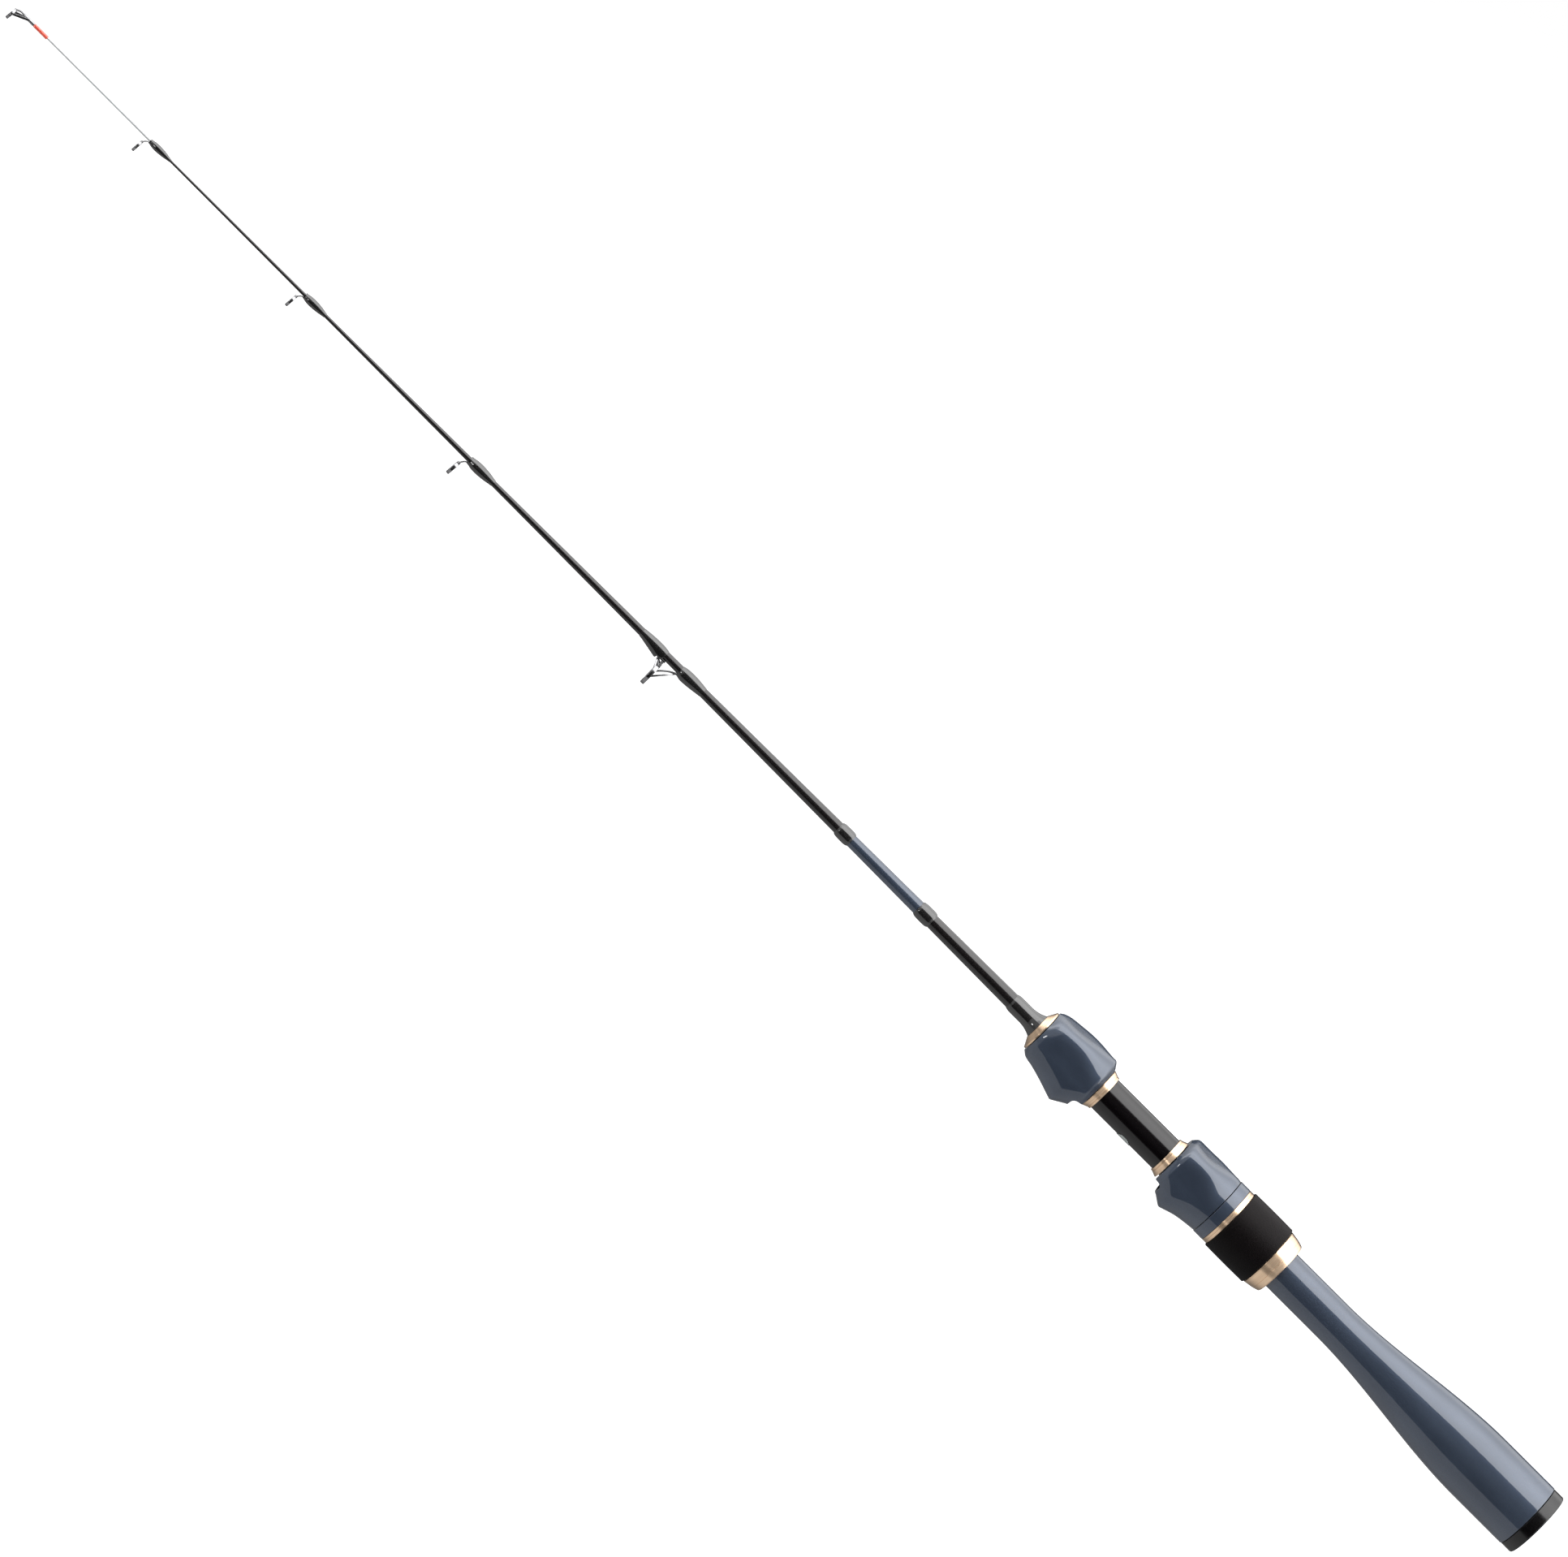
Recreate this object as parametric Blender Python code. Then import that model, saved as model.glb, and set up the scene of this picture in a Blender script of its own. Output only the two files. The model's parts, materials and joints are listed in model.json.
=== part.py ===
"""A short rock-fishing rod with a spinning reel seat.

Metres, +Z up. The rod's axis is the X axis: the butt's end face is at x = 0 and the
tip points to -X. The line guides and the mouths of the reel seat point down, to -Z.
The lock nut turns on the seat barrel's thread and carries the moving hood along it.
"""
import bpy
import bmesh
from math import ceil, cos, pi, sin, sqrt
from mathutils import Matrix, Vector

mm = 0.001

# Clearances
fit = 0.3 * mm            # between pieces of the handle
fine_fit = 0.08 * mm      # between the blank and what is bound or glued on it
thread_fit = 0.3 * mm     # between a thread's crest and the root that it faces
thread_play = 0.25 * mm   # between the flanks of the two threads, along the axis

# Butt cap and rear grip
cap_radius = 14.5 * mm
cap_length = 5.6 * mm
cap_edge = 1.6 * mm
cap_plug_radius = 9.0 * mm
cap_plug_length = 7.0 * mm
grip_length = 133.8 * mm
grip_front_radius = 8.55 * mm
grip_rear_radius = 14.7 * mm
grip_swell_start = 28.0 * mm     # from the grip's visible front end
grip_swell_length = 80.0 * mm
grip_bore_radius = 4.5 * mm

# Gold end ring behind the lock nut
end_ring_length = 6.8 * mm
end_ring_front_radius = 13.2 * mm
end_ring_rear_radius = 12.2 * mm
end_ring_round = 1.5 * mm
end_ring_land = 3.4 * mm         # the length of barrel that it sits on

# Seat barrel
barrel_radius = 7.4 * mm
barrel_bore_radius = barrel_radius - 2.0 * mm
seat_gap = 33.15 * mm             # bare barrel between the two cone rings
key_width = 2.2 * mm
key_height = 0.9 * mm
key_length = 6.0 * mm
arbor_length = 16.0 * mm

# Lock nut
nut_core_radius = barrel_radius + 2.8 * mm
sleeve_radius = nut_core_radius + 3.67 * mm
sleeve_length = 20.2 * mm
sleeve_edge = 0.5 * mm
trim_ring_radius = nut_core_radius + 2.9 * mm
trim_ring_length = 2.35 * mm
nut_ring_radius = nut_core_radius + 2.95 * mm
nut_ring_length = 4.7 * mm
thread_pitch = 3.0 * mm
thread_turns_in_nut = 3
thread_height = 0.65 * mm
thread_crest = 0.6 * mm          # width of a ridge at its crest
thread_flank = 0.35 * mm         # run of a ridge's flank along the axis
lock_travel = 13.5 * mm

# Hoods
pocket_roof = barrel_radius + 4.45 * mm         # from the rod's axis to the inside of the lip
moving_hood_length = 24.45 * mm
moving_lip_setback = 3.9 * mm    # the lip's end stands behind the hood's front face
moving_lip_peak = 8.85 * mm       # from the hood's front face to the lip's lowest edge
moving_lip_radius = pocket_roof + 3.85 * mm
front_hood_length = 30.35 * mm
front_lip_setback = 4.15 * mm
front_lip_peak = 10.35 * mm
front_lip_radius = pocket_roof + 4.26 * mm
lip_end_radius = pocket_roof + 1.05 * mm
hood_mouth_radius = barrel_radius + 2.0 * mm    # the hood's body where it meets a cone ring
hood_shoulder = 1.9 * mm
front_hood_nose_radius = barrel_radius + 2.45 * mm
front_hood_radius = barrel_radius + 5.1 * mm
moving_hood_radius = barrel_radius + 5.7 * mm
flank_cut = barrel_radius - 0.1 * mm    # from the axis to the cut edges beside the mouth
flank_round = 2.2 * mm           # where those edges turn down into the lip
flank_flatness = 2.5             # added to the power of a hood's section where it is flattest
flank_squeeze = 0.09             # and the share by which its sides are narrower there
pocket_half_width = 7.2 * mm
pocket_corner = 3.5 * mm
pocket_depth = 14.0 * mm
pocket_mouth_slack = 1.0 * mm    # cutters run this far past the hood's face
section_offset = 0.4 * mm        # a hood's last full section stands this far off its lip's end

# Cone rings between the hoods and the barrel
cone_ring_length = 3.15 * mm
cone_ring_wide_radius = barrel_radius + 1.7 * mm
cone_ring_narrow_radius = barrel_radius + 0.65 * mm

# Blank and solid tip
blank_length = 464.0 * mm        # from the flare's front end to the splice
blank_seat_radius = 3.25 * mm
blank_tip_radius = 0.48 * mm
blank_curve = 1.45               # power of the taper between the two radii
blank_handle_taper = 0.0026      # radius gained per length inside the handle
blank_butt_inset = 22.0 * mm     # the blank ends this far inside the grip's rear end
blank_wall_share = 0.34          # wall as a share of the radius
tip_length = 67.6 * mm           # from the splice to the front of the tip-top's tube
tip_thick_radius = 0.44 * mm
tip_thin_radius = 0.36 * mm
splice_length = 10.0 * mm
splice_radius = 0.24 * mm

# Front check and the flared binding ahead of it
flare_length = 13.7 * mm
flare_thin_radius = blank_seat_radius + 0.5 * mm
flare_end_radius = flare_thin_radius + 1.55 * mm
flare_run = 6.5 * mm
check_length = 2.8 * mm
check_front_radius = flare_end_radius + 0.3 * mm
check_rear_radius = check_front_radius + 3.6 * mm
check_land = 0.6 * mm

# Coloured band of paint on the blank, with a dark binding at either end
band_front = 86.8 * mm           # from the flare's front end
band_rear = 50.6 * mm
binding_front_length = 7.0 * mm
binding_rear_length = 7.4 * mm
binding_rise = 0.55 * mm

# Line guides: place of the ring ahead of the flare's front end, outer radius of the
# ring's frame, depth of its centre under the rod's axis, lean and width of the band,
# the binding's length and rise over the blank, half the width of the foot under the
# binding, and the thickness of the stamped strip
guides = (
    dict(name="guide_1", place=blank_length + 2.8 * mm, ring=2.7 * mm, drop=4.9 * mm,
         lean=4.0, band=1.15 * mm, wrap=10.8 * mm, rise=0.80 * mm, foot=0.4 * mm, strip=0.28 * mm),
    dict(name="guide_2", place=0.827 * blank_length, ring=2.85 * mm, drop=5.3 * mm, lean=5.0,
         band=1.25 * mm, wrap=11.2 * mm, rise=0.84 * mm, foot=0.45 * mm, strip=0.3 * mm),
    dict(name="guide_3", place=0.636 * blank_length, ring=3.25 * mm, drop=6.7 * mm, lean=5.0,
         band=1.45 * mm, wrap=12.8 * mm, rise=0.92 * mm, foot=0.55 * mm, strip=0.35 * mm),
)
guide_reach = 1.4 * mm           # from a guide's ring back to its binding, and a share
guide_reach_share = 0.3          # of the ring's radius more
guide_sag = 0.2 * mm             # how far a binding's belly hangs over the foot
guide_end_share = 0.5            # height of a binding's blunt end, as a share of its rise
stripper_place = 0.4013 * blank_length
stripper_ring = 5.2 * mm
stripper_drop = 9.1 * mm
stripper_band = 1.7 * mm
stripper_front_wrap = 12.6 * mm
stripper_rear_wrap = 12.0 * mm
stripper_front_rise = 0.5 * mm
stripper_rear_rise = 0.6 * mm
stripper_front_sag = 1.25 * mm
stripper_rear_sag = 0.55 * mm
stripper_end_share = 0.12
stripper_brace = 7.2 * mm        # from the ring back to the rear foot's toe
stripper_step = 2.7 * mm         # the front binding's belly stops this far short of its end
stripper_slope = 0.4 * mm        # and its end slopes back over this length
stripper_root = 0.7 * mm         # the plate starts down to the ring this far past the belly
stripper_strip = 0.45 * mm       # thickness of its stamped strip
stripper_foot = 0.9 * mm         # half the width of its feet
stripper_plate = 2.2 * mm        # half the width of the plate where it meets the ring
stripper_leg_width = 0.75 * mm
stripper_leg_thickness = 0.48 * mm
stripper_leg_bow = 1.2 * mm      # the rear legs bow out by this much
foot_share = 0.5                 # share of a binding's length that its foot fills
ring_wall = 0.75 * mm            # radial thickness of a frame's ring
insert_wall = 0.55 * mm          # radial thickness of the smooth ring in the frame

# The shape of a binding over a guide's foot, from its ring end to its thin end: share of
# its length, of its rise, and of the belly that covers the foot
foot_binding_shape = (
    (0.0, 0.0, 0.6),
    (0.06, 0.45, 0.9),
    (0.2, 0.85, 1.0),
    (0.42, 1.0, 0.6),
    (0.7, 0.72, 0.2),
    (0.88, 0.3, 0.05),
    (1.0, 0.06, 0.0),
)

# Tip-top
tip_tube_radius = 0.74 * mm
tip_tube_length = 4.6 * mm
tip_nose = 0.8 * mm              # solid end of the tube, ahead of its bore
tip_ring = 2.63 * mm
tip_ring_band = 1.25 * mm
tip_ring_drop = 3.1 * mm
tip_ring_lean = 6.0
tip_ring_reach = 4.6 * mm        # from the tube's bore to the ring
tip_leg_start = 1.9 * mm         # the side legs start this far back along the tube
tip_leg_width = 1.0 * mm
tip_leg_thickness = 0.4 * mm
tip_bar_thickness = 0.55 * mm    # the strip from the tube to the top of the ring
marker_radius = 0.8 * mm
marker_length = 7.1 * mm

# Small round label under the barrel
label_radius = 3.35 * mm
label_thickness = 0.15 * mm
label_place = 15.8 * mm          # from the rear cone ring's front end
label_turn = 20.0                # degrees round from straight below, to -Y

# Segments round a piece
handle_sides = 36
barrel_sides = 20
blank_sides = 16
wrap_sides = 14
stripper_sides = 22
ring_sides = 18
flare_sides = 24
tip_sides = 10

# Stations along the axis, from the butt to the tip
x_cap = -cap_length
x_grip = x_cap - grip_length
x_end_ring = x_grip - end_ring_length
x_sleeve_rear = x_end_ring - fit
x_sleeve_front = x_sleeve_rear - sleeve_length
x_trim_front = x_sleeve_front - trim_ring_length
x_nut_front = x_trim_front - nut_ring_length
x_moving_rear = x_nut_front - fit
x_moving_front = x_moving_rear - moving_hood_length
x_rear_cone = x_moving_front - cone_ring_length
x_front_cone = x_rear_cone - seat_gap
x_front_hood_rear = x_front_cone - cone_ring_length
x_front_hood_front = x_front_hood_rear - front_hood_length
x_check = x_front_hood_front - check_length
x_flare = x_check - flare_length
x_splice = x_flare - blank_length
x_tip_tube = x_splice - tip_length
x_barrel_rear = x_end_ring + end_ring_land
x_barrel_front = x_front_hood_front + fit
x_blank_butt = x_cap - blank_butt_inset


def clear_scene():
    for item in list(bpy.data.objects):
        bpy.data.objects.remove(item, do_unlink=True)


def material(name, colour, roughness, metallic=0.0):
    made = bpy.data.materials.get(name)
    if made is None:
        made = bpy.data.materials.new(name)
        made.use_nodes = True
        shader = made.node_tree.nodes["Principled BSDF"]
        shader.inputs["Base Color"].default_value = (*colour, 1.0)
        shader.inputs["Roughness"].default_value = roughness
        shader.inputs["Metallic"].default_value = metallic
        made.diffuse_color = (*colour, 1.0)
    return made


def slate_paint():
    return material("slate_blue_gloss", (0.026, 0.033, 0.047), 0.12)


def gold_metal():
    return material("champagne_metal", (0.62, 0.44, 0.27), 0.3, 1.0)


def black_resin():
    return material("black_gloss_resin", (0.012, 0.011, 0.012), 0.12)


def black_satin():
    return material("black_satin", (0.018, 0.016, 0.016), 0.45)


def blank_paint():
    return material("blank_black", (0.02, 0.016, 0.018), 0.25)


def foam_black():
    return material("black_foam", (0.012, 0.010, 0.010), 0.9)


def steel():
    return material("polished_steel", (0.66, 0.66, 0.66), 0.12, 1.0)


def ring_grey():
    return material("ring_ceramic", (0.06, 0.06, 0.065), 0.1)


def plain(name, colour, roughness):
    return lambda: material(name, colour, roughness)


def finish_object(mesh_builder, name, paint, smooth_angle=35.0):
    """Turn a bmesh into a named object with its material and shading."""
    bmesh.ops.remove_doubles(mesh_builder, verts=mesh_builder.verts, dist=1e-7)
    bmesh.ops.recalc_face_normals(mesh_builder, faces=mesh_builder.faces)
    mesh = bpy.data.meshes.new(name)
    mesh_builder.to_mesh(mesh)
    mesh_builder.free()
    mesh.shade_smooth()
    mesh.set_sharp_from_angle(angle=smooth_angle * pi / 180)
    if paint is not None:
        mesh.materials.append(paint())
    made = bpy.data.objects.new(name, mesh)
    bpy.context.scene.collection.objects.link(made)
    return made


def make_cutter(cutter):
    """A guide for a Boolean, which isn't part of the rod."""
    cutter.hide_render = True
    cutter.display_type = "WIRE"
    return cutter


def boolean(target, other, operation="DIFFERENCE"):
    cut = target.modifiers.new(other.name, "BOOLEAN")
    cut.operation = operation
    cut.solver = "EXACT"
    cut.object = make_cutter(other)


def arc(centre_x, centre_r, radius, start, end, steps):
    """Points of an arc in the (x, r) plane, with angles in degrees from +x."""
    points = []
    for step in range(steps + 1):
        angle = (start + (end - start) * step / steps) * pi / 180
        points.append((centre_x + radius * cos(angle), centre_r + radius * sin(angle)))
    return points


def ease(share):
    """A smooth step from 0 to 1."""
    share = min(max(share, 0.0), 1.0)
    return share * share * (3.0 - 2.0 * share)


def between(start, end, steps):
    return [start + (end - start) * step / steps for step in range(steps + 1)]


def curve_through(points):
    """A smooth function through (x, value) points in rising order of x."""
    def slope(index):
        low = points[max(index - 1, 0)]
        high = points[min(index + 1, len(points) - 1)]
        return (high[1] - low[1]) / (high[0] - low[0])

    def value(x):
        if x <= points[0][0]:
            return points[0][1]
        for index in range(len(points) - 1):
            x0, v0 = points[index]
            x1, v1 = points[index + 1]
            if x <= x1:
                run = x1 - x0
                t = (x - x0) / run
                rise = v0 * (1 + 2 * t) * (1 - t) ** 2 + v1 * t * t * (3 - 2 * t)
                lean = slope(index) * t * (1 - t) ** 2 - slope(index + 1) * t * t * (1 - t)
                return rise + lean * run
        return points[-1][1]

    return value


def turned(name, outline, paint, sides, smooth_angle=35.0):
    """Spin an outline of (x, r) points about the X axis into a closed solid."""
    builder = bmesh.new()
    verts = [builder.verts.new((x, 0.0, r)) for x, r in outline]
    closed = min(r for x, r in outline) > 0.0
    pairs = list(zip(verts, verts[1:]))
    if closed:
        pairs.append((verts[-1], verts[0]))
    edges = [builder.edges.new(pair) for pair in pairs]
    bmesh.ops.spin(builder, geom=verts + edges, cent=(0, 0, 0), axis=(1, 0, 0),
                   angle=2 * pi, steps=sides, use_merge=True, use_duplicate=False)
    return finish_object(builder, name, paint, smooth_angle)


def loft(name, sections, paint, smooth_angle=35.0):
    """Join equal loops of points into a closed solid with flat ends."""
    builder = bmesh.new()
    rows = [[builder.verts.new(point) for point in section] for section in sections]
    count = len(rows[0])
    for row, after in zip(rows, rows[1:]):
        for index in range(count):
            following = (index + 1) % count
            builder.faces.new((row[index], row[following], after[following], after[index]))
    builder.faces.new(rows[0])
    builder.faces.new(list(reversed(rows[-1])))
    return finish_object(builder, name, paint, smooth_angle)


def box(name, low, high):
    builder = bmesh.new()
    size = Vector(high) - Vector(low)
    centre = (Vector(high) + Vector(low)) / 2
    place = Matrix.Translation(centre) @ Matrix.Diagonal((*size, 1.0))
    bmesh.ops.create_cube(builder, size=1.0, matrix=place)
    return finish_object(builder, name, None)


def prism(name, outline, half_width):
    """A bar along Y from an outline of (x, z) points."""
    ends = [[(x, y, z) for x, z in outline] for y in (-half_width, half_width)]
    return loft(name, ends, None)


def blank_radius(x):
    """Outer radius of the blank, which tapers more slowly near its tip."""
    if x >= x_flare:
        return blank_seat_radius + blank_handle_taper * (x - x_flare)
    share = max(x - x_splice, 0.0) / blank_length
    return blank_tip_radius + (blank_seat_radius - blank_tip_radius) * share ** blank_curve


def tip_radius(x):
    share = (x - x_tip_tube) / tip_length
    return tip_thin_radius + (tip_thick_radius - tip_thin_radius) * share


# Handle, from the butt forward

def butt_cap():
    outline = [(x_cap + fit, cap_plug_radius)]
    outline += [(x_cap - cap_plug_length, cap_plug_radius), (x_cap - cap_plug_length, 0.0)]
    outline = list(reversed(outline))
    outline += [(x_cap + fit, cap_radius - 0.15 * mm), (x_cap + 2 * fit, cap_radius)]
    outline += arc(-cap_edge, cap_radius - cap_edge, cap_edge, 90, 0, 4)
    outline += [(0.0, 0.0)]
    return turned("butt_cap", outline, plain("cap_black", (0.02, 0.019, 0.02), 0.5),
                  handle_sides)


def grip_radius(x):
    share = (x - x_grip - grip_swell_start) / grip_swell_length
    return grip_front_radius + (grip_rear_radius - grip_front_radius) * ease(share)


def rear_grip():
    front = x_barrel_rear + fit
    socket = x_cap - cap_plug_length - fit
    swell = between(x_grip + grip_swell_start, x_grip + grip_swell_start + grip_swell_length, 9)
    outline = [(front, grip_bore_radius), (front, grip_front_radius)]
    outline += [(x, grip_radius(x)) for x in swell]
    outline += [(x_cap - 1.0 * mm, grip_rear_radius), (x_cap, grip_rear_radius - 0.15 * mm)]
    outline += [(x_cap, cap_plug_radius + fit), (socket, cap_plug_radius + fit)]
    outline += [(socket, grip_bore_radius)]
    return turned("rear_grip", outline, slate_paint, handle_sides)


def end_ring():
    rear_bore = grip_front_radius + fit
    front_bore = barrel_root_radius() + fit
    land_end = x_barrel_rear - fit / 2
    rounding = arc(x_grip - end_ring_round, end_ring_rear_radius - end_ring_round,
                   end_ring_round, 80, 0, 4)
    outline = [(x_end_ring, front_bore), (x_end_ring, end_ring_front_radius - 0.3 * mm)]
    outline += [(x_end_ring + 0.3 * mm, end_ring_front_radius)]
    outline += rounding
    outline += [(x_grip, rear_bore), (land_end, rear_bore), (land_end, front_bore)]
    return turned("end_ring", outline, gold_metal, handle_sides)


def barrel_root_radius():
    return barrel_radius - thread_height


def thread_columns(sides, start, end, root, height, phase, crest, flank):
    """Points along a threaded surface, one column for each angle round the axis.

    Each ridge adds four points at its place along the helix. A ridge that would pass
    either end of the thread shrinks to nothing at that end.
    """
    ridges = ceil((end - start) / thread_pitch) + 2
    columns = []
    for side in range(sides):
        column = [(start, root)]
        for ridge in range(ridges):
            place = start + thread_pitch * (ridge - 1 + side / sides) + phase
            corners = ((0.0, 0.0), (flank, 1.0), (flank + crest, 1.0), (2 * flank + crest, 0.0))
            inside = place >= start and place + 2 * flank + crest <= end
            for along, share in corners:
                if inside:
                    column.append((place + along, root + height * share))
                else:
                    column.append((start if place < start else end, root))
        columns.append(column + [(end, root)])
    return columns


def threaded(name, columns, before, after, sides, paint):
    """A closed ring of revolution, with a threaded stretch between two plain ones."""
    builder = bmesh.new()

    def vertex(side, point):
        angle = 2 * pi * side / sides
        return builder.verts.new((point[0], point[1] * cos(angle), point[1] * sin(angle)))

    loops = []
    for side in range(sides):
        head = [vertex(side, point) for point in before]
        body = [vertex(side, point) for point in columns[side]]
        tail = [vertex(side, point) for point in after]
        loops.append((head, body, tail))
    for side in range(sides):
        head, body, tail = loops[side]
        next_head, next_body, next_tail = loops[(side + 1) % sides]
        if side == sides - 1:
            next_body = [next_body[0]] + next_body[5:] + [next_body[-1]] * 4
        here = head + body + tail
        there = next_head + next_body + next_tail
        for index in range(len(here)):
            corners = (here[index - 1], here[index], there[index], there[index - 1])
            distinct = []
            for corner in corners:
                if all((corner.co - other.co).length > 1e-8 for other in distinct):
                    distinct.append(corner)
            if len(distinct) > 2:
                builder.faces.new(distinct)
    return finish_object(builder, name, paint)


def barrel_thread_start():
    return x_nut_front - lock_travel - 3 * fit


def barrel_thread_end():
    return x_nut_front + thread_pitch * (thread_turns_in_nut + 1)


def seat_barrel():
    start = barrel_thread_start()
    end = barrel_thread_end()
    root = barrel_root_radius()
    columns = thread_columns(barrel_sides, start, end, root, thread_height, 0.0,
                             thread_crest, thread_flank)
    before = [(x_barrel_front, barrel_bore_radius), (x_barrel_front, barrel_radius)]
    before += [(start - thread_pitch, barrel_radius), (start - thread_pitch, root)]
    after = [(x_barrel_rear, root), (x_barrel_rear, barrel_bore_radius)]
    barrel = threaded("seat_barrel", columns, before, after, barrel_sides, black_satin)
    slot_low = barrel_radius - key_height - fit
    slot = box("keyway", (x_moving_front + fit, -key_width / 2 - fit, slot_low),
               (x_barrel_rear + fit, key_width / 2 + fit, barrel_radius + fit))
    boolean(barrel, slot)
    return barrel


def arbor(name, start):
    outer = barrel_bore_radius - fine_fit
    stations = (start, start + arbor_length)
    outline = [(stations[0], outer), (stations[1], outer)]
    outline += [(x, blank_radius(x) + fine_fit) for x in reversed(stations)]
    return turned(name, outline, plain("arbor_grey", (0.25, 0.24, 0.22), 0.8), blank_sides)


def cone_ring(name, wide_x, narrow_x, paint=gold_metal):
    bore = barrel_radius + fit
    edge = 0.35 * mm if narrow_x > wide_x else -0.35 * mm
    outline = [(wide_x, bore), (wide_x, cone_ring_wide_radius - 0.3 * mm)]
    outline += [(wide_x + edge, cone_ring_wide_radius)]
    outline += [(narrow_x - edge, cone_ring_narrow_radius)]
    outline += [(narrow_x, cone_ring_narrow_radius - 0.3 * mm), (narrow_x, bore)]
    return turned(name, outline, paint, handle_sides)


def front_check():
    bore = blank_radius(x_front_hood_front) + fine_fit
    rear = x_front_hood_front - fit
    outline = [(x_check, bore), (x_check, check_front_radius - 0.15 * mm)]
    outline += [(x_check + 0.15 * mm, check_front_radius)]
    outline += [(rear - check_land, check_rear_radius - 0.2 * mm)]
    outline += [(rear - check_land + 0.15 * mm, check_rear_radius), (rear, check_rear_radius)]
    outline += [(rear, bore)]
    return turned("front_check", outline, gold_metal, handle_sides)


def flare_binding():
    rear = x_check - fine_fit
    stations = between(rear - flare_run, rear, 5)
    outline = [(x_flare, flare_thin_radius - 0.35 * mm)]
    outline += [(x_flare + 1.0 * mm, flare_thin_radius - 0.1 * mm)]
    outline += [(x_flare + 2.4 * mm, flare_thin_radius)]
    for x in stations:
        share = (x - stations[0]) / flare_run
        rise = (flare_end_radius - flare_thin_radius) * share ** 2.2
        outline.append((x, flare_thin_radius + rise))
    outline += [(x, blank_radius(x) + fine_fit) for x in (rear, x_flare)]
    return turned("flare_binding", outline, black_resin, flare_sides)


# Hoods

def swollen_section(x, body_radius, drop, sides, squareness, flatness=0.0, shift=0.0):
    """A body whose lower half swells down to a depth, round or with flattened flanks.

    With a shift of half a side, its lowest part is a side and not a corner.
    """
    side_radius = body_radius / (1.0 + flank_squeeze * flatness)
    low_power = 2.0 + squareness * max(drop / side_radius - 1.0, 0.0)
    top_power = 2.0 + flank_flatness * flatness
    points = []
    for side in range(sides):
        angle = 2 * pi * (side + shift) / sides
        across = sin(angle)
        down = cos(angle)
        power, depth = (low_power, drop) if down > 0.0 else (top_power, side_radius)
        reach = (abs(across / side_radius) ** power + abs(down / depth) ** power) ** (-1 / power)
        points.append((x, reach * across, -reach * down))
    return points


def hood_body(name, stations, body_curve, drop_curve, flank_curve):
    sections = [swollen_section(x, body_curve(x), drop_curve(x), handle_sides, 3.0,
                                flank_curve(x), 0.5)
                for x in stations]
    return loft(name, sections, slate_paint, 40.0)


def bore_cutter(name, start, end):
    radius = barrel_radius + fit
    outline = [(start, 0.0), (start, radius), (end, radius), (end, 0.0)]
    return turned(name, outline, None, barrel_sides)


def pocket(name, start, end):
    """The arched room for one end of the reel's foot, between the barrel and the lip."""
    flat = pocket_half_width - pocket_corner
    low = pocket_roof - pocket_corner
    corner = arc(flat, low, pocket_corner, 0, 90, 4)
    outline = [(pocket_half_width, 0.0)] + corner
    outline += [(-y, depth) for y, depth in reversed(corner)] + [(-pocket_half_width, 0.0)]
    ends = [[(x, y, -depth) for y, depth in outline] for x in (start, end)]
    return loft(name, ends, None)


def mouth(name, lip_end, past_face):
    """Past the lip's end the hood is open downwards, from a level cut with a round corner."""
    wide = 2 * front_lip_radius
    turn = 180 if past_face > lip_end else 0
    centre = lip_end + flank_round * (1 if past_face > lip_end else -1)
    outline = [(lip_end, -wide)]
    outline += arc(centre, -flank_cut - flank_round, flank_round, turn, 90, 4)
    outline += [(past_face, -flank_cut), (past_face, -wide)]
    return prism(name, outline, wide)


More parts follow.
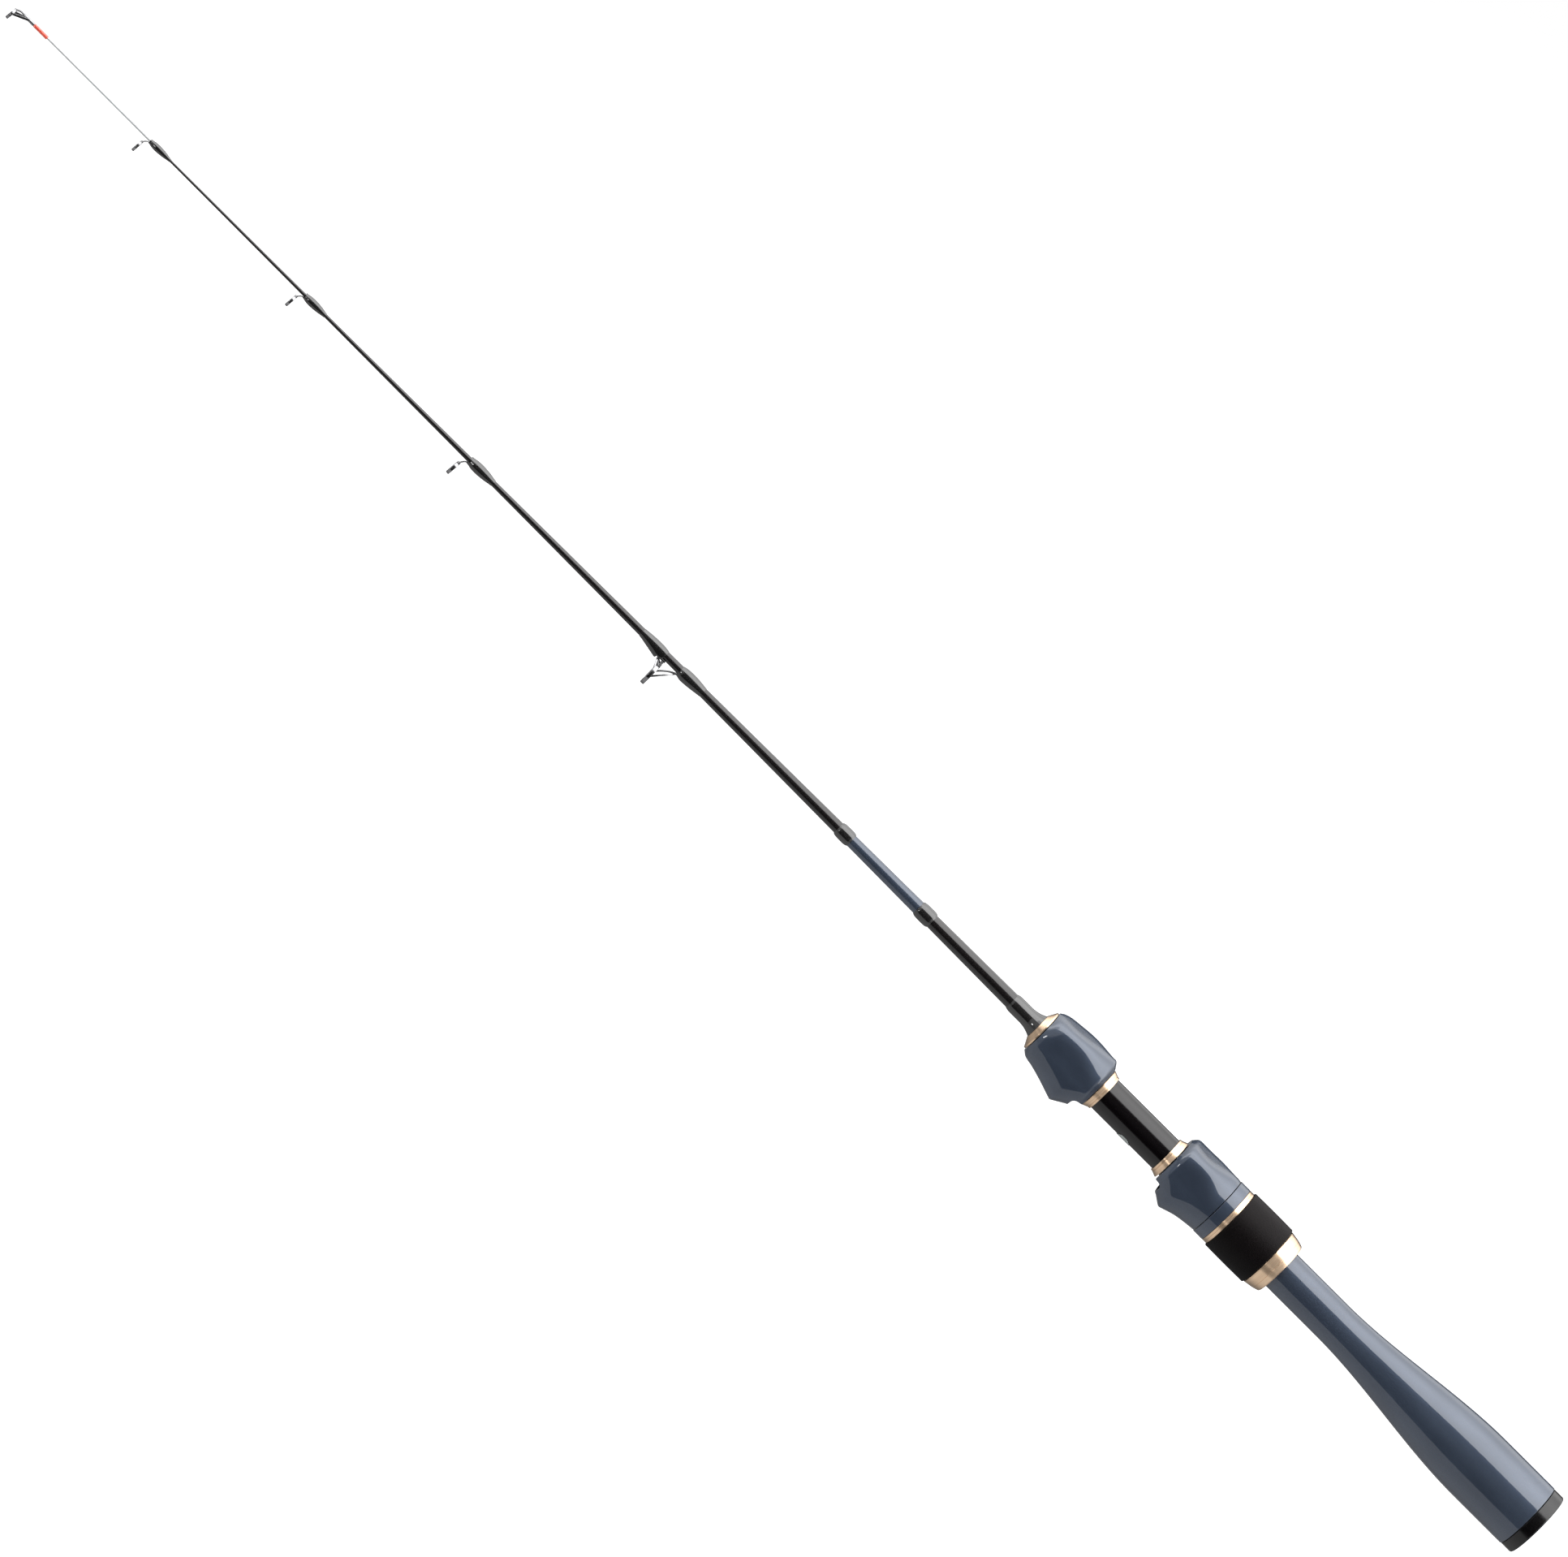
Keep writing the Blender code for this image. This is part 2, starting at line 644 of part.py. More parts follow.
def front_hood():
    rear = x_front_hood_rear - fit
    front = x_front_hood_front
    widest = front + front_hood_length * 0.52
    peak = x_front_hood_rear - front_lip_peak
    lip_end = x_front_hood_rear - front_lip_setback
    body_curve = curve_through([
        (front, front_hood_nose_radius),
        (front + 2.0 * mm, front_hood_nose_radius + 0.95 * mm),
        (front + 6.0 * mm, front_hood_nose_radius + 1.85 * mm),
        (widest, front_hood_radius),
        (rear - 2 * hood_shoulder, front_hood_radius - 0.4 * mm),
        (rear - hood_shoulder, front_hood_radius - 0.6 * mm),
        (rear, hood_mouth_radius)])
    drop_curve = curve_through([
        (front, front_hood_nose_radius),
        (front + 2.0 * mm, front_hood_nose_radius + 1.4 * mm),
        (front + 6.5 * mm, front_hood_nose_radius + 2.35 * mm),
        (front + 12.0 * mm, front_hood_nose_radius + 3.8 * mm),
        (peak - 0.5 * mm, front_lip_radius - 0.1 * mm),
        (peak, front_lip_radius),
        (peak + 0.5 * mm, front_lip_radius - 0.2 * mm),
        (lip_end, lip_end_radius),
        (rear, hood_mouth_radius + 1.8 * mm)])
    flank_curve = curve_through([
        (front, 0.0), (front + 3.0 * mm, 0.5), (front + 9.0 * mm, 1.0), (front + 14.0 * mm, 0.85),
        (peak, 0.35), (lip_end, 0.0), (rear, 0.0)])
    stations = [front, front + 0.6 * mm, front + 2.0 * mm, front + 4.0 * mm, front + 6.5 * mm]
    stations += between(front + 9.5 * mm, peak - 0.5 * mm, 4)
    stations += [peak, peak + 0.5 * mm, lip_end - 2.5 * mm, lip_end - section_offset]
    stations += [rear - hood_shoulder, rear - 0.8 * mm, rear]
    hood = hood_body("front_hood", stations, body_curve, drop_curve, flank_curve)
    boolean(hood, bore_cutter("front_hood_bore", front - fit, rear + fit))
    past_face = rear + pocket_mouth_slack
    boolean(hood, pocket("front_pocket", lip_end - pocket_depth, past_face))
    boolean(hood, mouth("front_mouth", lip_end, past_face))
    return hood


def moving_hood():
    front = x_moving_front + fit
    rear = x_moving_rear
    peak = x_moving_front + moving_lip_peak
    lip_end = x_moving_front + moving_lip_setback
    body_curve = curve_through([
        (front, hood_mouth_radius + 1.6 * mm),
        (front + hood_shoulder, moving_hood_radius - 0.35 * mm),
        (front + 2.2 * hood_shoulder, moving_hood_radius),
        (rear - 1.5 * mm, moving_hood_radius + 0.05 * mm),
        (rear, moving_hood_radius - 0.15 * mm)])
    drop_curve = curve_through([
        (front, lip_end_radius - 1.0 * mm),
        (lip_end, lip_end_radius),
        (peak - 0.5 * mm, moving_lip_radius - 0.15 * mm),
        (peak, moving_lip_radius),
        (peak + 0.5 * mm, moving_lip_radius - 0.08 * mm),
        (peak + 6.5 * mm, moving_hood_radius + 0.9 * mm),
        (rear - 2.5 * mm, moving_hood_radius + 0.08 * mm),
        (rear, moving_hood_radius - 0.15 * mm)])
    flank_curve = curve_through([
        (front, 0.2), (lip_end, 0.7), (peak, 1.0), (peak + 4.0 * mm, 0.75),
        (peak + 8.0 * mm, 0.3), (peak + 12.0 * mm, 0.0), (rear, 0.0)])
    stations = [front, front + 0.8 * mm, front + hood_shoulder]
    stations += [lip_end + section_offset, lip_end + 2.5 * mm]
    stations += [peak - 0.5 * mm, peak, peak + 0.5 * mm]
    stations += between(peak + 3.0 * mm, rear - 2.5 * mm, 4)
    stations += [rear - 0.8 * mm, rear]
    hood = hood_body("moving_hood", stations, body_curve, drop_curve, flank_curve)
    boolean(hood, bore_cutter("moving_hood_bore", front - fit, rear + fit))
    past_face = front - pocket_mouth_slack
    boolean(hood, pocket("moving_pocket", past_face, lip_end + pocket_depth))
    boolean(hood, mouth("moving_mouth", lip_end, past_face))
    key_rear = rear - 2.0 * mm
    key = box("hood_key", (key_rear - key_length, -key_width / 2, barrel_radius - key_height),
              (key_rear, key_width / 2, barrel_radius + 1.5 * mm))
    boolean(hood, key, "UNION")
    return hood


# Lock nut

def nut_core():
    root = barrel_radius + thread_fit
    start = x_nut_front + 1.0 * mm
    end = start + thread_pitch * thread_turns_in_nut
    reach = thread_flank * (1.0 - thread_fit / thread_height)
    crest = thread_pitch - thread_crest - 2 * reach - 2 * thread_play
    columns = thread_columns(barrel_sides, start, end, root, -thread_height,
                             nut_thread_phase(start, crest), crest, thread_flank)
    rear = x_sleeve_rear - fit
    before = [(x_nut_front + fit, root)]
    after = [(rear, root), (rear, nut_core_radius), (x_nut_front + fit, nut_core_radius)]
    return threaded("nut_core", columns, before, after, barrel_sides, black_satin)


def nut_thread_phase(start, crest):
    """Put the nut's ridges midway between the barrel's, on the same helix."""
    shift = barrel_thread_start() - start + (thread_crest - crest) / 2 + thread_pitch / 2
    return shift % thread_pitch


def nut_ring():
    bore = nut_core_radius + fit
    edge = 0.3 * mm
    rear = x_trim_front - fine_fit
    outline = [(x_nut_front, bore), (x_nut_front, nut_ring_radius - edge)]
    outline += [(x_nut_front + edge, nut_ring_radius), (rear, nut_ring_radius - 0.1 * mm)]
    outline += [(rear, bore)]
    return turned("nut_ring", outline, slate_paint, handle_sides)


def nut_trim_ring():
    bore = nut_core_radius + fit
    edge = 0.15 * mm
    front = x_trim_front + fine_fit
    rear = x_sleeve_front - fine_fit
    outline = [(front, bore), (front, trim_ring_radius - edge), (front + edge, trim_ring_radius)]
    outline += [(rear - edge, trim_ring_radius), (rear, trim_ring_radius - edge), (rear, bore)]
    return turned("nut_trim_ring", outline, gold_metal, handle_sides)


def nut_sleeve():
    bore = nut_core_radius + fit
    front = x_sleeve_front + fine_fit
    rear = x_sleeve_rear
    outline = [(front, bore), (front, sleeve_radius - sleeve_edge)]
    outline += arc(front + sleeve_edge, sleeve_radius - sleeve_edge, sleeve_edge, 150, 90, 1)
    outline += arc(rear - sleeve_edge, sleeve_radius - sleeve_edge, sleeve_edge, 90, 0, 2)
    outline += [(rear, bore)]
    return turned("nut_sleeve", outline, foam_black, handle_sides)


# Blank, tip and bindings

def blank():
    stations = between(x_splice, x_flare, 12)
    outline = [(x, blank_radius(x)) for x in stations]
    outline += [(x_blank_butt, blank_radius(x_blank_butt))]
    inner = [x_blank_butt, x_flare] + stations[9:3:-3]
    splice_end = x_splice + splice_length + fine_fit
    hollow = 1.0 - blank_wall_share
    outline += [(x, blank_radius(x) * hollow) for x in inner]
    outline += [(splice_end, splice_radius + fine_fit), (x_splice, splice_radius + fine_fit)]
    made = turned("blank", outline, blank_paint, blank_sides)
    made.data.materials.append(slate_paint())
    for face in made.data.polygons:
        if x_flare - band_front < face.center.x < x_flare - band_rear:
            face.material_index = 1
    return made


def solid_tip():
    front = x_tip_tube + fine_fit
    shoulder = x_splice - fine_fit
    outline = [(front, 0.0), (front, tip_radius(front)), (shoulder, tip_radius(shoulder))]
    outline += [(shoulder, splice_radius), (shoulder + splice_length, splice_radius)]
    outline += [(shoulder + splice_length, 0.0)]
    return turned("solid_tip", outline, plain("tip_white", (0.86, 0.86, 0.84), 0.3), tip_sides)


def binding(name, front, rear, rise):
    """A short band of thread under resin, with rounded shoulders."""
    outline = []
    shape = ((0.0, 0.25), (0.1, 0.75), (0.28, 1.0), (0.72, 1.0), (0.9, 0.75), (1.0, 0.25))
    for share, height in shape:
        x = front + (rear - front) * share
        outline.append((x, blank_radius(x) + fine_fit + rise * height))
    outline += [(x, blank_radius(x) + fine_fit) for x in (rear, front)]
    return turned(name, outline, black_resin, blank_sides)


def foot_binding(name, thick_end, thin_end, rise, sag, end_share):
    """The binding over a guide's foot: full at its ring end, thin at the other."""
    sections = []
    for share, height, belly in foot_binding_shape:
        x = thick_end + (thin_end - thick_end) * share
        if belly > 0.5:
            height = max(height, end_share)
        radius = blank_radius(x) + fine_fit + rise * height
        sections.append(swollen_section(x, radius, radius + sag * belly, wrap_sides, 1.5))
    return loft(name, sections, black_resin)


def cut_for_blank(wrap, start, end):
    """Clear the binding's bore for the tapering blank."""
    low, high = sorted((start, end))
    ends = (low - fit, high + fit)
    outline = [(ends[0], 0.0)]
    outline += [(x, blank_radius(x) + fine_fit) for x in ends]
    outline += [(ends[1], 0.0)]
    boolean(wrap, turned(wrap.name + "_bore", outline, None, wrap_sides))


def foot_room(name, start, end, half_width, thickness):
    """The space that a guide's flat foot takes inside its binding."""
    low, high = sorted((start, end))
    bottom = -foot_top(high) - thickness - fine_fit
    return box(name, (low - fine_fit, -half_width - fine_fit, bottom),
               (high + fine_fit, half_width + fine_fit, -blank_radius(low) / 2))


def foot_top(thick_end):
    """How far under the axis a foot's upper face lies."""
    return blank_radius(thick_end) + 2 * fine_fit


# Guides

def ring_profile(outer, wall, width, steps):
    """Cross-section of a ring with rounded edges, in (x, r) points."""
    edge = min(wall, width) * 0.38
    inner = outer - wall
    half = width / 2
    outline = arc(half - edge, outer - edge, edge, 0, 90, steps)
    outline += arc(edge - half, outer - edge, edge, 90, 180, steps)
    outline += [(-half, inner + edge), (edge - half, inner), (half - edge, inner)]
    outline += [(half, inner + edge)]
    return outline


def ring_frame(name, x, outer, band, drop, lean, sides=ring_sides):
    """The metal band round a guide's smooth ring."""
    made = turned(name, ring_profile(outer, ring_wall, band, 2), steel, sides)
    return place_ring(made, x, drop, lean)


def place_ring(made, x, drop, lean):
    """Set a ring made about the origin at its place, leaning to the tip."""
    turn = Matrix.Rotation(lean * pi / 180, 4, "Y")
    made.data.transform(Matrix.Translation((x, 0.0, -drop)) @ turn)
    return made


def guide_insert(name, x, drop, outer, band, lean):
    """The smooth ring that the line runs through."""
    radius = outer - ring_wall - fine_fit
    outline = ring_profile(radius, insert_wall, band * 0.8, 1)
    made = turned(name, outline, ring_grey, ring_sides)
    return place_ring(made, x, drop, lean)


def strip(name, path, half_widths, thickness):
    """A bent strip through points in the XZ plane, with a width at each point."""
    count = len(path)
    sections = []
    for index, (x, z) in enumerate(path):
        low = path[max(index - 1, 0)]
        high = path[min(index + 1, count - 1)]
        run = sqrt((high[0] - low[0]) ** 2 + (high[1] - low[1]) ** 2)
        normal = (-(high[1] - low[1]) / run, (high[0] - low[0]) / run)
        offset = thickness / 2
        width = half_widths[index]
        outer = (x + normal[0] * offset, z + normal[1] * offset)
        inner = (x - normal[0] * offset, z - normal[1] * offset)
        sections.append([(outer[0], -width, outer[1]), (outer[0], width, outer[1]),
                         (inner[0], width, inner[1]), (inner[0], -width, inner[1])])
    return loft(name, sections, None)


def brace(name, start, end, bow, width, thickness, steps):
    """A flat strut between two points, bowed out at its middle."""
    along = (end - start).normalized()
    across = Vector((0, 1, 0)).cross(along).normalized() * width / 2
    side = Vector((0, thickness / 2, 0))
    sections = []
    for share in between(0.0, 1.0, steps):
        centre = start.lerp(end, share) + bow * (4 * share * (1 - share))
        sections.append([centre + across + side, centre + across - side,
                         centre - across - side, centre - across + side])
    return loft(name, sections, None)


def guide_ends(guide):
    """Where a single-foot guide's ring, binding and foot lie along the rod."""
    ring = x_flare - guide["place"]
    front = ring + guide_reach + guide_reach_share * guide["ring"]
    return ring, front, front + guide["wrap"], front + guide["wrap"] * foot_share


def single_foot_frame(guide):
    name = guide["name"]
    ring, front, rear, foot_end = guide_ends(guide)
    drop = guide["drop"]
    outer = guide["ring"]
    frame = ring_frame(name + "_frame", ring, outer, guide["band"], drop, guide["lean"])
    foot = guide["foot"]
    level = -foot_top(foot_end) - guide["strip"] / 2
    lean = guide["lean"] * pi / 180
    reach = outer - ring_wall / 2
    top_x = ring + reach * sin(lean)
    top_z = -drop + reach * cos(lean)
    bend_x = front - guide["strip"]
    path = [(top_x, top_z)]
    path += [(top_x + (bend_x - top_x) * 0.45, top_z + (level - top_z) * 0.6)]
    path += [(bend_x, level), (front + 0.8 * mm, level), (foot_end, level)]
    widths = [outer * 0.46, outer * 0.31, foot, foot, foot * 0.6]
    boolean(frame, strip(name + "_neck", path, widths, guide["strip"]), "UNION")
    return frame


def single_foot_wrap(guide):
    name = guide["name"]
    ring, front, rear, foot_end = guide_ends(guide)
    wrap = foot_binding(name + "_wrap", front, rear, guide["rise"], guide_sag,
                        guide_end_share)
    cut_for_blank(wrap, front, rear)
    boolean(wrap, foot_room(name + "_foot_room", front - 1.0 * mm, foot_end,
                            guide["foot"], guide["strip"]))
    return wrap


def stripper_stations():
    ring = x_flare - stripper_place
    front_wrap_rear = ring - stripper_band / 2
    rear_wrap_front = ring + stripper_brace
    return ring, front_wrap_rear, rear_wrap_front


def stripper_frame():
    ring, front_rear, rear_front = stripper_stations()
    frame = ring_frame("guide_4_frame", ring, stripper_ring, stripper_band,
                       stripper_drop, 0.0, stripper_sides)
    ring_top = -stripper_drop + stripper_ring - ring_wall / 2
    foot = stripper_foot
    level = -foot_top(front_rear) - stripper_strip / 2
    toe = front_rear - stripper_step
    foot_end = front_rear - stripper_front_wrap * foot_share
    plate = [(foot_end, level), (toe, level), (ring + stripper_band / 2, level)]
    boolean(frame, strip("guide_4_front_foot", plate, [foot * 0.6, foot, foot * 1.3],
                         stripper_strip), "UNION")
    root = toe + stripper_root
    gusset = [(root, level - 0.1 * mm), (ring - 0.3 * mm, ring_top)]
    boolean(frame, strip("guide_4_gusset", gusset, [foot * 1.1, stripper_plate],
                         stripper_strip), "UNION")
    bridge = [(ring, ring_top), (ring, level)]
    boolean(frame, strip("guide_4_bridge", bridge, [stripper_plate, foot * 1.2],
                         stripper_band * 0.7), "UNION")
    heel = rear_front + stripper_rear_wrap * foot_share
    rear_level = -foot_top(heel) - stripper_strip / 2
    rear = [(rear_front - 0.9 * mm, rear_level - 0.25 * mm), (rear_front, rear_level),
            (heel, rear_level)]
    boolean(frame, strip("guide_4_rear_foot", rear, [1.1 * mm, foot, foot * 0.6],
                         stripper_strip), "UNION")
    for side, suffix in ((-1, "near"), (1, "far")):
        half_ring = stripper_ring - ring_wall / 2
        start = Vector((ring + 0.2 * mm, side * half_ring, -stripper_drop))
        end = Vector((rear_front - 0.6 * mm, side * 0.55 * mm, rear_level - 0.25 * mm))
        bow = Vector((0.0, side * stripper_leg_bow, 0.3 * mm))
        leg = brace("guide_4_rear_leg_" + suffix, start, end, bow, stripper_leg_width,
                    stripper_leg_thickness, 4)
        boolean(frame, leg, "UNION")
        start = Vector((ring - 0.4 * mm, side * half_ring * 0.84,
                        -stripper_drop + half_ring * 0.55))
        end = Vector((root + 0.3 * mm, side * foot * 0.8, level - 0.3 * mm))
        bow = Vector((0.0, side * 0.3 * mm, 0.0))
        leg = brace("guide_4_front_leg_" + suffix, start, end, bow, stripper_leg_width,
                    stripper_leg_thickness, 2)
        boolean(frame, leg, "UNION")
    return frame


def stripper_wraps():
    ring, front_rear, rear_front = stripper_stations()
    front_end = front_rear - stripper_front_wrap
    front = foot_binding("guide_4_front_wrap", front_rear, front_end, stripper_front_rise,
                         stripper_front_sag, stripper_end_share)
    cut_for_blank(front, front_rear, front_end)
    foot_end = front_rear - stripper_front_wrap * foot_share
    boolean(front, foot_room("guide_4_front_room", foot_end, front_rear,
                             stripper_foot * 1.3, stripper_strip))
    top = fine_fit - foot_top(front_rear)
    low = -2 * stripper_drop
    step = front_rear - stripper_step
    clear = [(step, low), (step, top - stripper_front_sag), (step + stripper_slope, top),
             (front_rear + 1.0 * mm, top), (front_rear + 1.0 * mm, low)]
    boolean(front, prism("guide_4_step", clear, stripper_drop))
    rear_end = rear_front + stripper_rear_wrap
    rear = foot_binding("guide_4_rear_wrap", rear_front, rear_end, stripper_rear_rise,
                        stripper_rear_sag, stripper_end_share)
    cut_for_blank(rear, rear_front, rear_end)
    heel = rear_front + stripper_rear_wrap * foot_share
    boolean(rear, foot_room("guide_4_rear_room", rear_front - 1.0 * mm, heel,
                            stripper_foot, stripper_strip))
    return front, rear


# Tip-top

def tip_marker():
    front = x_tip_tube + tip_tube_length + fine_fit
    rear = front + marker_length
    edge = 0.15 * mm
    outline = [(front, marker_radius - edge), (front + edge, marker_radius)]
    outline += [(rear - 3 * edge, marker_radius), (rear, marker_radius - edge)]
    outline += [(x, tip_radius(x) + fine_fit) for x in (rear, front)]
    return turned("tip_marker", outline, plain("marker_red", (0.75, 0.06, 0.03), 0.3), wrap_sides)


def tip_top_frame():
    rear = x_tip_tube + tip_tube_length
    bore = tip_radius(rear) + fine_fit
    front = x_tip_tube - tip_nose
    outline = [(x_tip_tube, 0.0), (x_tip_tube, bore), (rear, bore), (rear, tip_tube_radius)]
    outline += [(front + 0.3 * mm, tip_tube_radius), (front, tip_tube_radius * 0.7)]
    outline += [(front, 0.0)]
    frame = turned("tip_top_frame", outline, steel, wrap_sides)
    x_ring = x_tip_tube - tip_ring_reach
    ring = ring_frame("tip_top_band", x_ring, tip_ring, tip_ring_band, tip_ring_drop,
                      tip_ring_lean)
    boolean(frame, ring, "UNION")
    lean = tip_ring_lean * pi / 180
    reach = tip_ring - ring_wall / 2
    ring_top = (x_ring + reach * sin(lean), -tip_ring_drop + reach * cos(lean))
    path = [(x_tip_tube - 0.1 * mm, 0.1 * mm), (front, 0.1 * mm)]
    path += [(front - (front - ring_top[0]) * 0.55, 0.0), ring_top]
    bar = strip("tip_top_bar", path, [0.35 * mm, 0.45 * mm, 0.55 * mm, 0.9 * mm],
                tip_bar_thickness)
    boolean(frame, bar, "UNION")
    for side, suffix in ((-1, "near"), (1, "far")):
        start = Vector((x_tip_tube + tip_leg_start, side * tip_tube_radius * 0.94, 0.05 * mm))
        end = Vector((x_ring + 0.2 * mm, side * reach, -tip_ring_drop + 0.6 * mm))
        leg = brace("tip_top_leg_" + suffix, start, end, Vector((0.0, 0.0, 0.0)),
                    tip_leg_width, tip_leg_thickness, 2)
        boolean(frame, leg, "UNION")
    return frame


def seat_label():
    """A small round label that follows the barrel's curve."""
    centre_x = x_rear_cone - label_place
    inner = barrel_radius + fine_fit
    outer = inner + label_thickness
    turn = label_turn * pi / 180
    rings = 3
    around = 20
    builder = bmesh.new()

    def point(radius, reach, angle):
        x = centre_x + reach * cos(angle)
        swing = turn + reach * sin(angle) / radius
        return builder.verts.new((x, -radius * sin(swing), -radius * cos(swing)))

    layers = []
    for radius in (inner, outer):
        middle = point(radius, 0.0, 0.0)
        loops = []
        for ring in range(1, rings + 1):
            reach = label_radius * ring / rings
            loops.append([point(radius, reach, 2 * pi * step / around) for step in range(around)])
        for step in range(around):
            after = (step + 1) % around
            builder.faces.new((middle, loops[0][step], loops[0][after]))
            for low, high in zip(loops, loops[1:]):
                builder.faces.new((low[step], high[step], high[after], low[after]))
        layers.append(loops[-1])
    for step in range(around):
        after = (step + 1) % around
        builder.faces.new((layers[0][step], layers[1][step], layers[1][after], layers[0][after]))
    return finish_object(builder, "seat_label", plain("label_grey", (0.55, 0.58, 0.58), 0.4))


def pivot(name, x):
    """An empty on the rod's axis that carries the pieces which move together."""
    made = bpy.data.objects.new(name, None)
    made.empty_display_size = 10 * mm
    made.location = (x, 0.0, 0.0)
    bpy.context.scene.collection.objects.link(made)
    return made


def carry(parent, pieces):
    """Parent pieces to an empty without moving them."""
    for piece in pieces:
        piece.parent = parent
        piece.matrix_parent_inverse = Matrix.Translation(-parent.location)
        if parent.parent is not None:
            above = parent.parent.location
            piece.matrix_parent_inverse = Matrix.Translation(-parent.location - above)


def build_handle():
    butt_cap()
    rear_grip()
    end_ring()
    seat_barrel()
    arbor("rear_arbor", x_barrel_rear - arbor_length)
    arbor("front_arbor", x_barrel_front + fit)
    front_hood()
    cone_ring("front_cone_ring", x_front_hood_rear, x_front_cone)
    front_check()
    flare_binding()
    seat_label()


def build_lock():
    slider = pivot("hood_slide_axis", x_moving_front)
    hood_pieces = [moving_hood(), cone_ring("rear_cone_ring", x_moving_front, x_rear_cone)]
    carry(slider, hood_pieces)
    spinner = pivot("nut_spin_axis", x_nut_front - x_moving_front)
    spinner.parent = slider
    carry(spinner, [nut_core(), nut_ring(), nut_trim_ring(), nut_sleeve()])


def build_blank():
    blank()
    solid_tip()
    band_rear_end = x_flare - band_rear
    band_front_end = x_flare - band_front
    binding("rear_binding", band_rear_end, band_rear_end + binding_rear_length, binding_rise)
    binding("front_binding", band_front_end - binding_front_length, band_front_end,
            binding_rise)


def build_guides():
    for guide in guides:
        single_foot_frame(guide)
        single_foot_wrap(guide)
        guide_insert(guide["name"] + "_ring", x_flare - guide["place"], guide["drop"],
                     guide["ring"], guide["band"], guide["lean"])
    stripper_frame()
    stripper_wraps()
    guide_insert("guide_4_ring", x_flare - stripper_place, stripper_drop, stripper_ring,
                 stripper_band, 0.0)
    tip_marker()
    tip_top_frame()
    guide_insert("tip_top_ring", x_tip_tube - tip_ring_reach, tip_ring_drop, tip_ring,
                 tip_ring_band, tip_ring_lean)


clear_scene()
build_handle()
build_lock()
build_blank()
build_guides()
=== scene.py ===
"""A short rock-fishing rod with a spinning reel seat, dressed for rendering.

Metres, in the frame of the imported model: the rod's axis is the X axis, the butt's end
face is at x = 0, the tip points to -X and the line guides hang down to -Z.
"""
import json
from math import cos, pi, radians, sin, sqrt, tan

import bmesh
import bpy
from mathutils import Matrix, Vector


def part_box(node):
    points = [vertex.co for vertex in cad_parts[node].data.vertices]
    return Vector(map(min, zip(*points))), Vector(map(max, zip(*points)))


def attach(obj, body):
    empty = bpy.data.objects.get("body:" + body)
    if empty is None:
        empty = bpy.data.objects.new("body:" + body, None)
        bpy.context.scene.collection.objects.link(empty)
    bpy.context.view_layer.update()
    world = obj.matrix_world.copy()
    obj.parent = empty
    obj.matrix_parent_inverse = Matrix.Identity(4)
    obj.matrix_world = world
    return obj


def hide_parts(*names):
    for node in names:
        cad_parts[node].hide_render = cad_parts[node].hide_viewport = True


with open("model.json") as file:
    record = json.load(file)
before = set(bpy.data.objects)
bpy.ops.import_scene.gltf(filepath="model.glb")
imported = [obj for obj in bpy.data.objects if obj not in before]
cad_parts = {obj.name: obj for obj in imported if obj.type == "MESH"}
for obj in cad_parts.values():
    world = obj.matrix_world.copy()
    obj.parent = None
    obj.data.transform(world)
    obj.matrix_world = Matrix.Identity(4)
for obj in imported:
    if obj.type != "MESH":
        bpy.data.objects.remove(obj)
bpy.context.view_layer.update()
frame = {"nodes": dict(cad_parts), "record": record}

mm = 0.001

# The photograph's view
frame_width = 1932              # pixels
metres_per_pixel = 0.31 * mm    # at the rod's axis
focal_pixels = 16000
sensor = 36.0                   # millimetres, across the frame's width
view_elevation = 15.0           # degrees above the level plane through the rod's axis
view_yaw = 2.0                  # towards the tip
view_roll = 44.944
view_centre_x = -406.68 * mm
view_centre_drop = 1.34 * mm
view_nearest = 0.1
view_farthest = 50.0

# Handle
grip_front_radius = 8.55 * mm
grip_swell_start = 28 * mm
grip_swell_length = 80 * mm
grip_bore_radius = 4.5 * mm
cap_plug_radius = 9.0 * mm
glue_gap = 0.3 * mm
barrel_bore_radius = 5.4 * mm
thread_pitch = 3.0 * mm
thread_height = 0.65 * mm
thread_crest = 0.6 * mm
thread_flank = 0.35 * mm
lock_travel = 13.5 * mm
key_width = 2.2 * mm
key_height = 0.9 * mm
key_length = 6.0 * mm
fine_round = 0.3 * mm
cap_rounding = 1.6 * mm
cap_groove_depth = 0.35 * mm
ring_bore_radius = 7.05 * mm
check_front_radius = 5.6 * mm
flare_thin_radius = 3.75 * mm
flare_run = 6.5 * mm
nut_bore_radius = 10.5 * mm

# Hoods
hood_mouth_radius = 9.4 * mm
hood_shoulder = 1.9 * mm
front_hood_nose_radius = 9.85 * mm
front_hood_radius = 12.5 * mm
moving_hood_radius = 13.1 * mm
front_lip_radius = 16.1 * mm
moving_lip_radius = 15.7 * mm
lip_end_radius = 12.9 * mm
front_lip_peak = 10.35 * mm
front_lip_setback = 4.15 * mm
moving_lip_peak = 8.85 * mm
moving_lip_setback = 3.9 * mm
flank_cut = 7.3 * mm
flank_round = 2.2 * mm
flank_flatness = 2.5
flank_squeeze = 0.09
pocket_half_width = 7.2 * mm
pocket_corner = 3.5 * mm
pocket_roof = 11.85 * mm
pocket_depth = 14.0 * mm

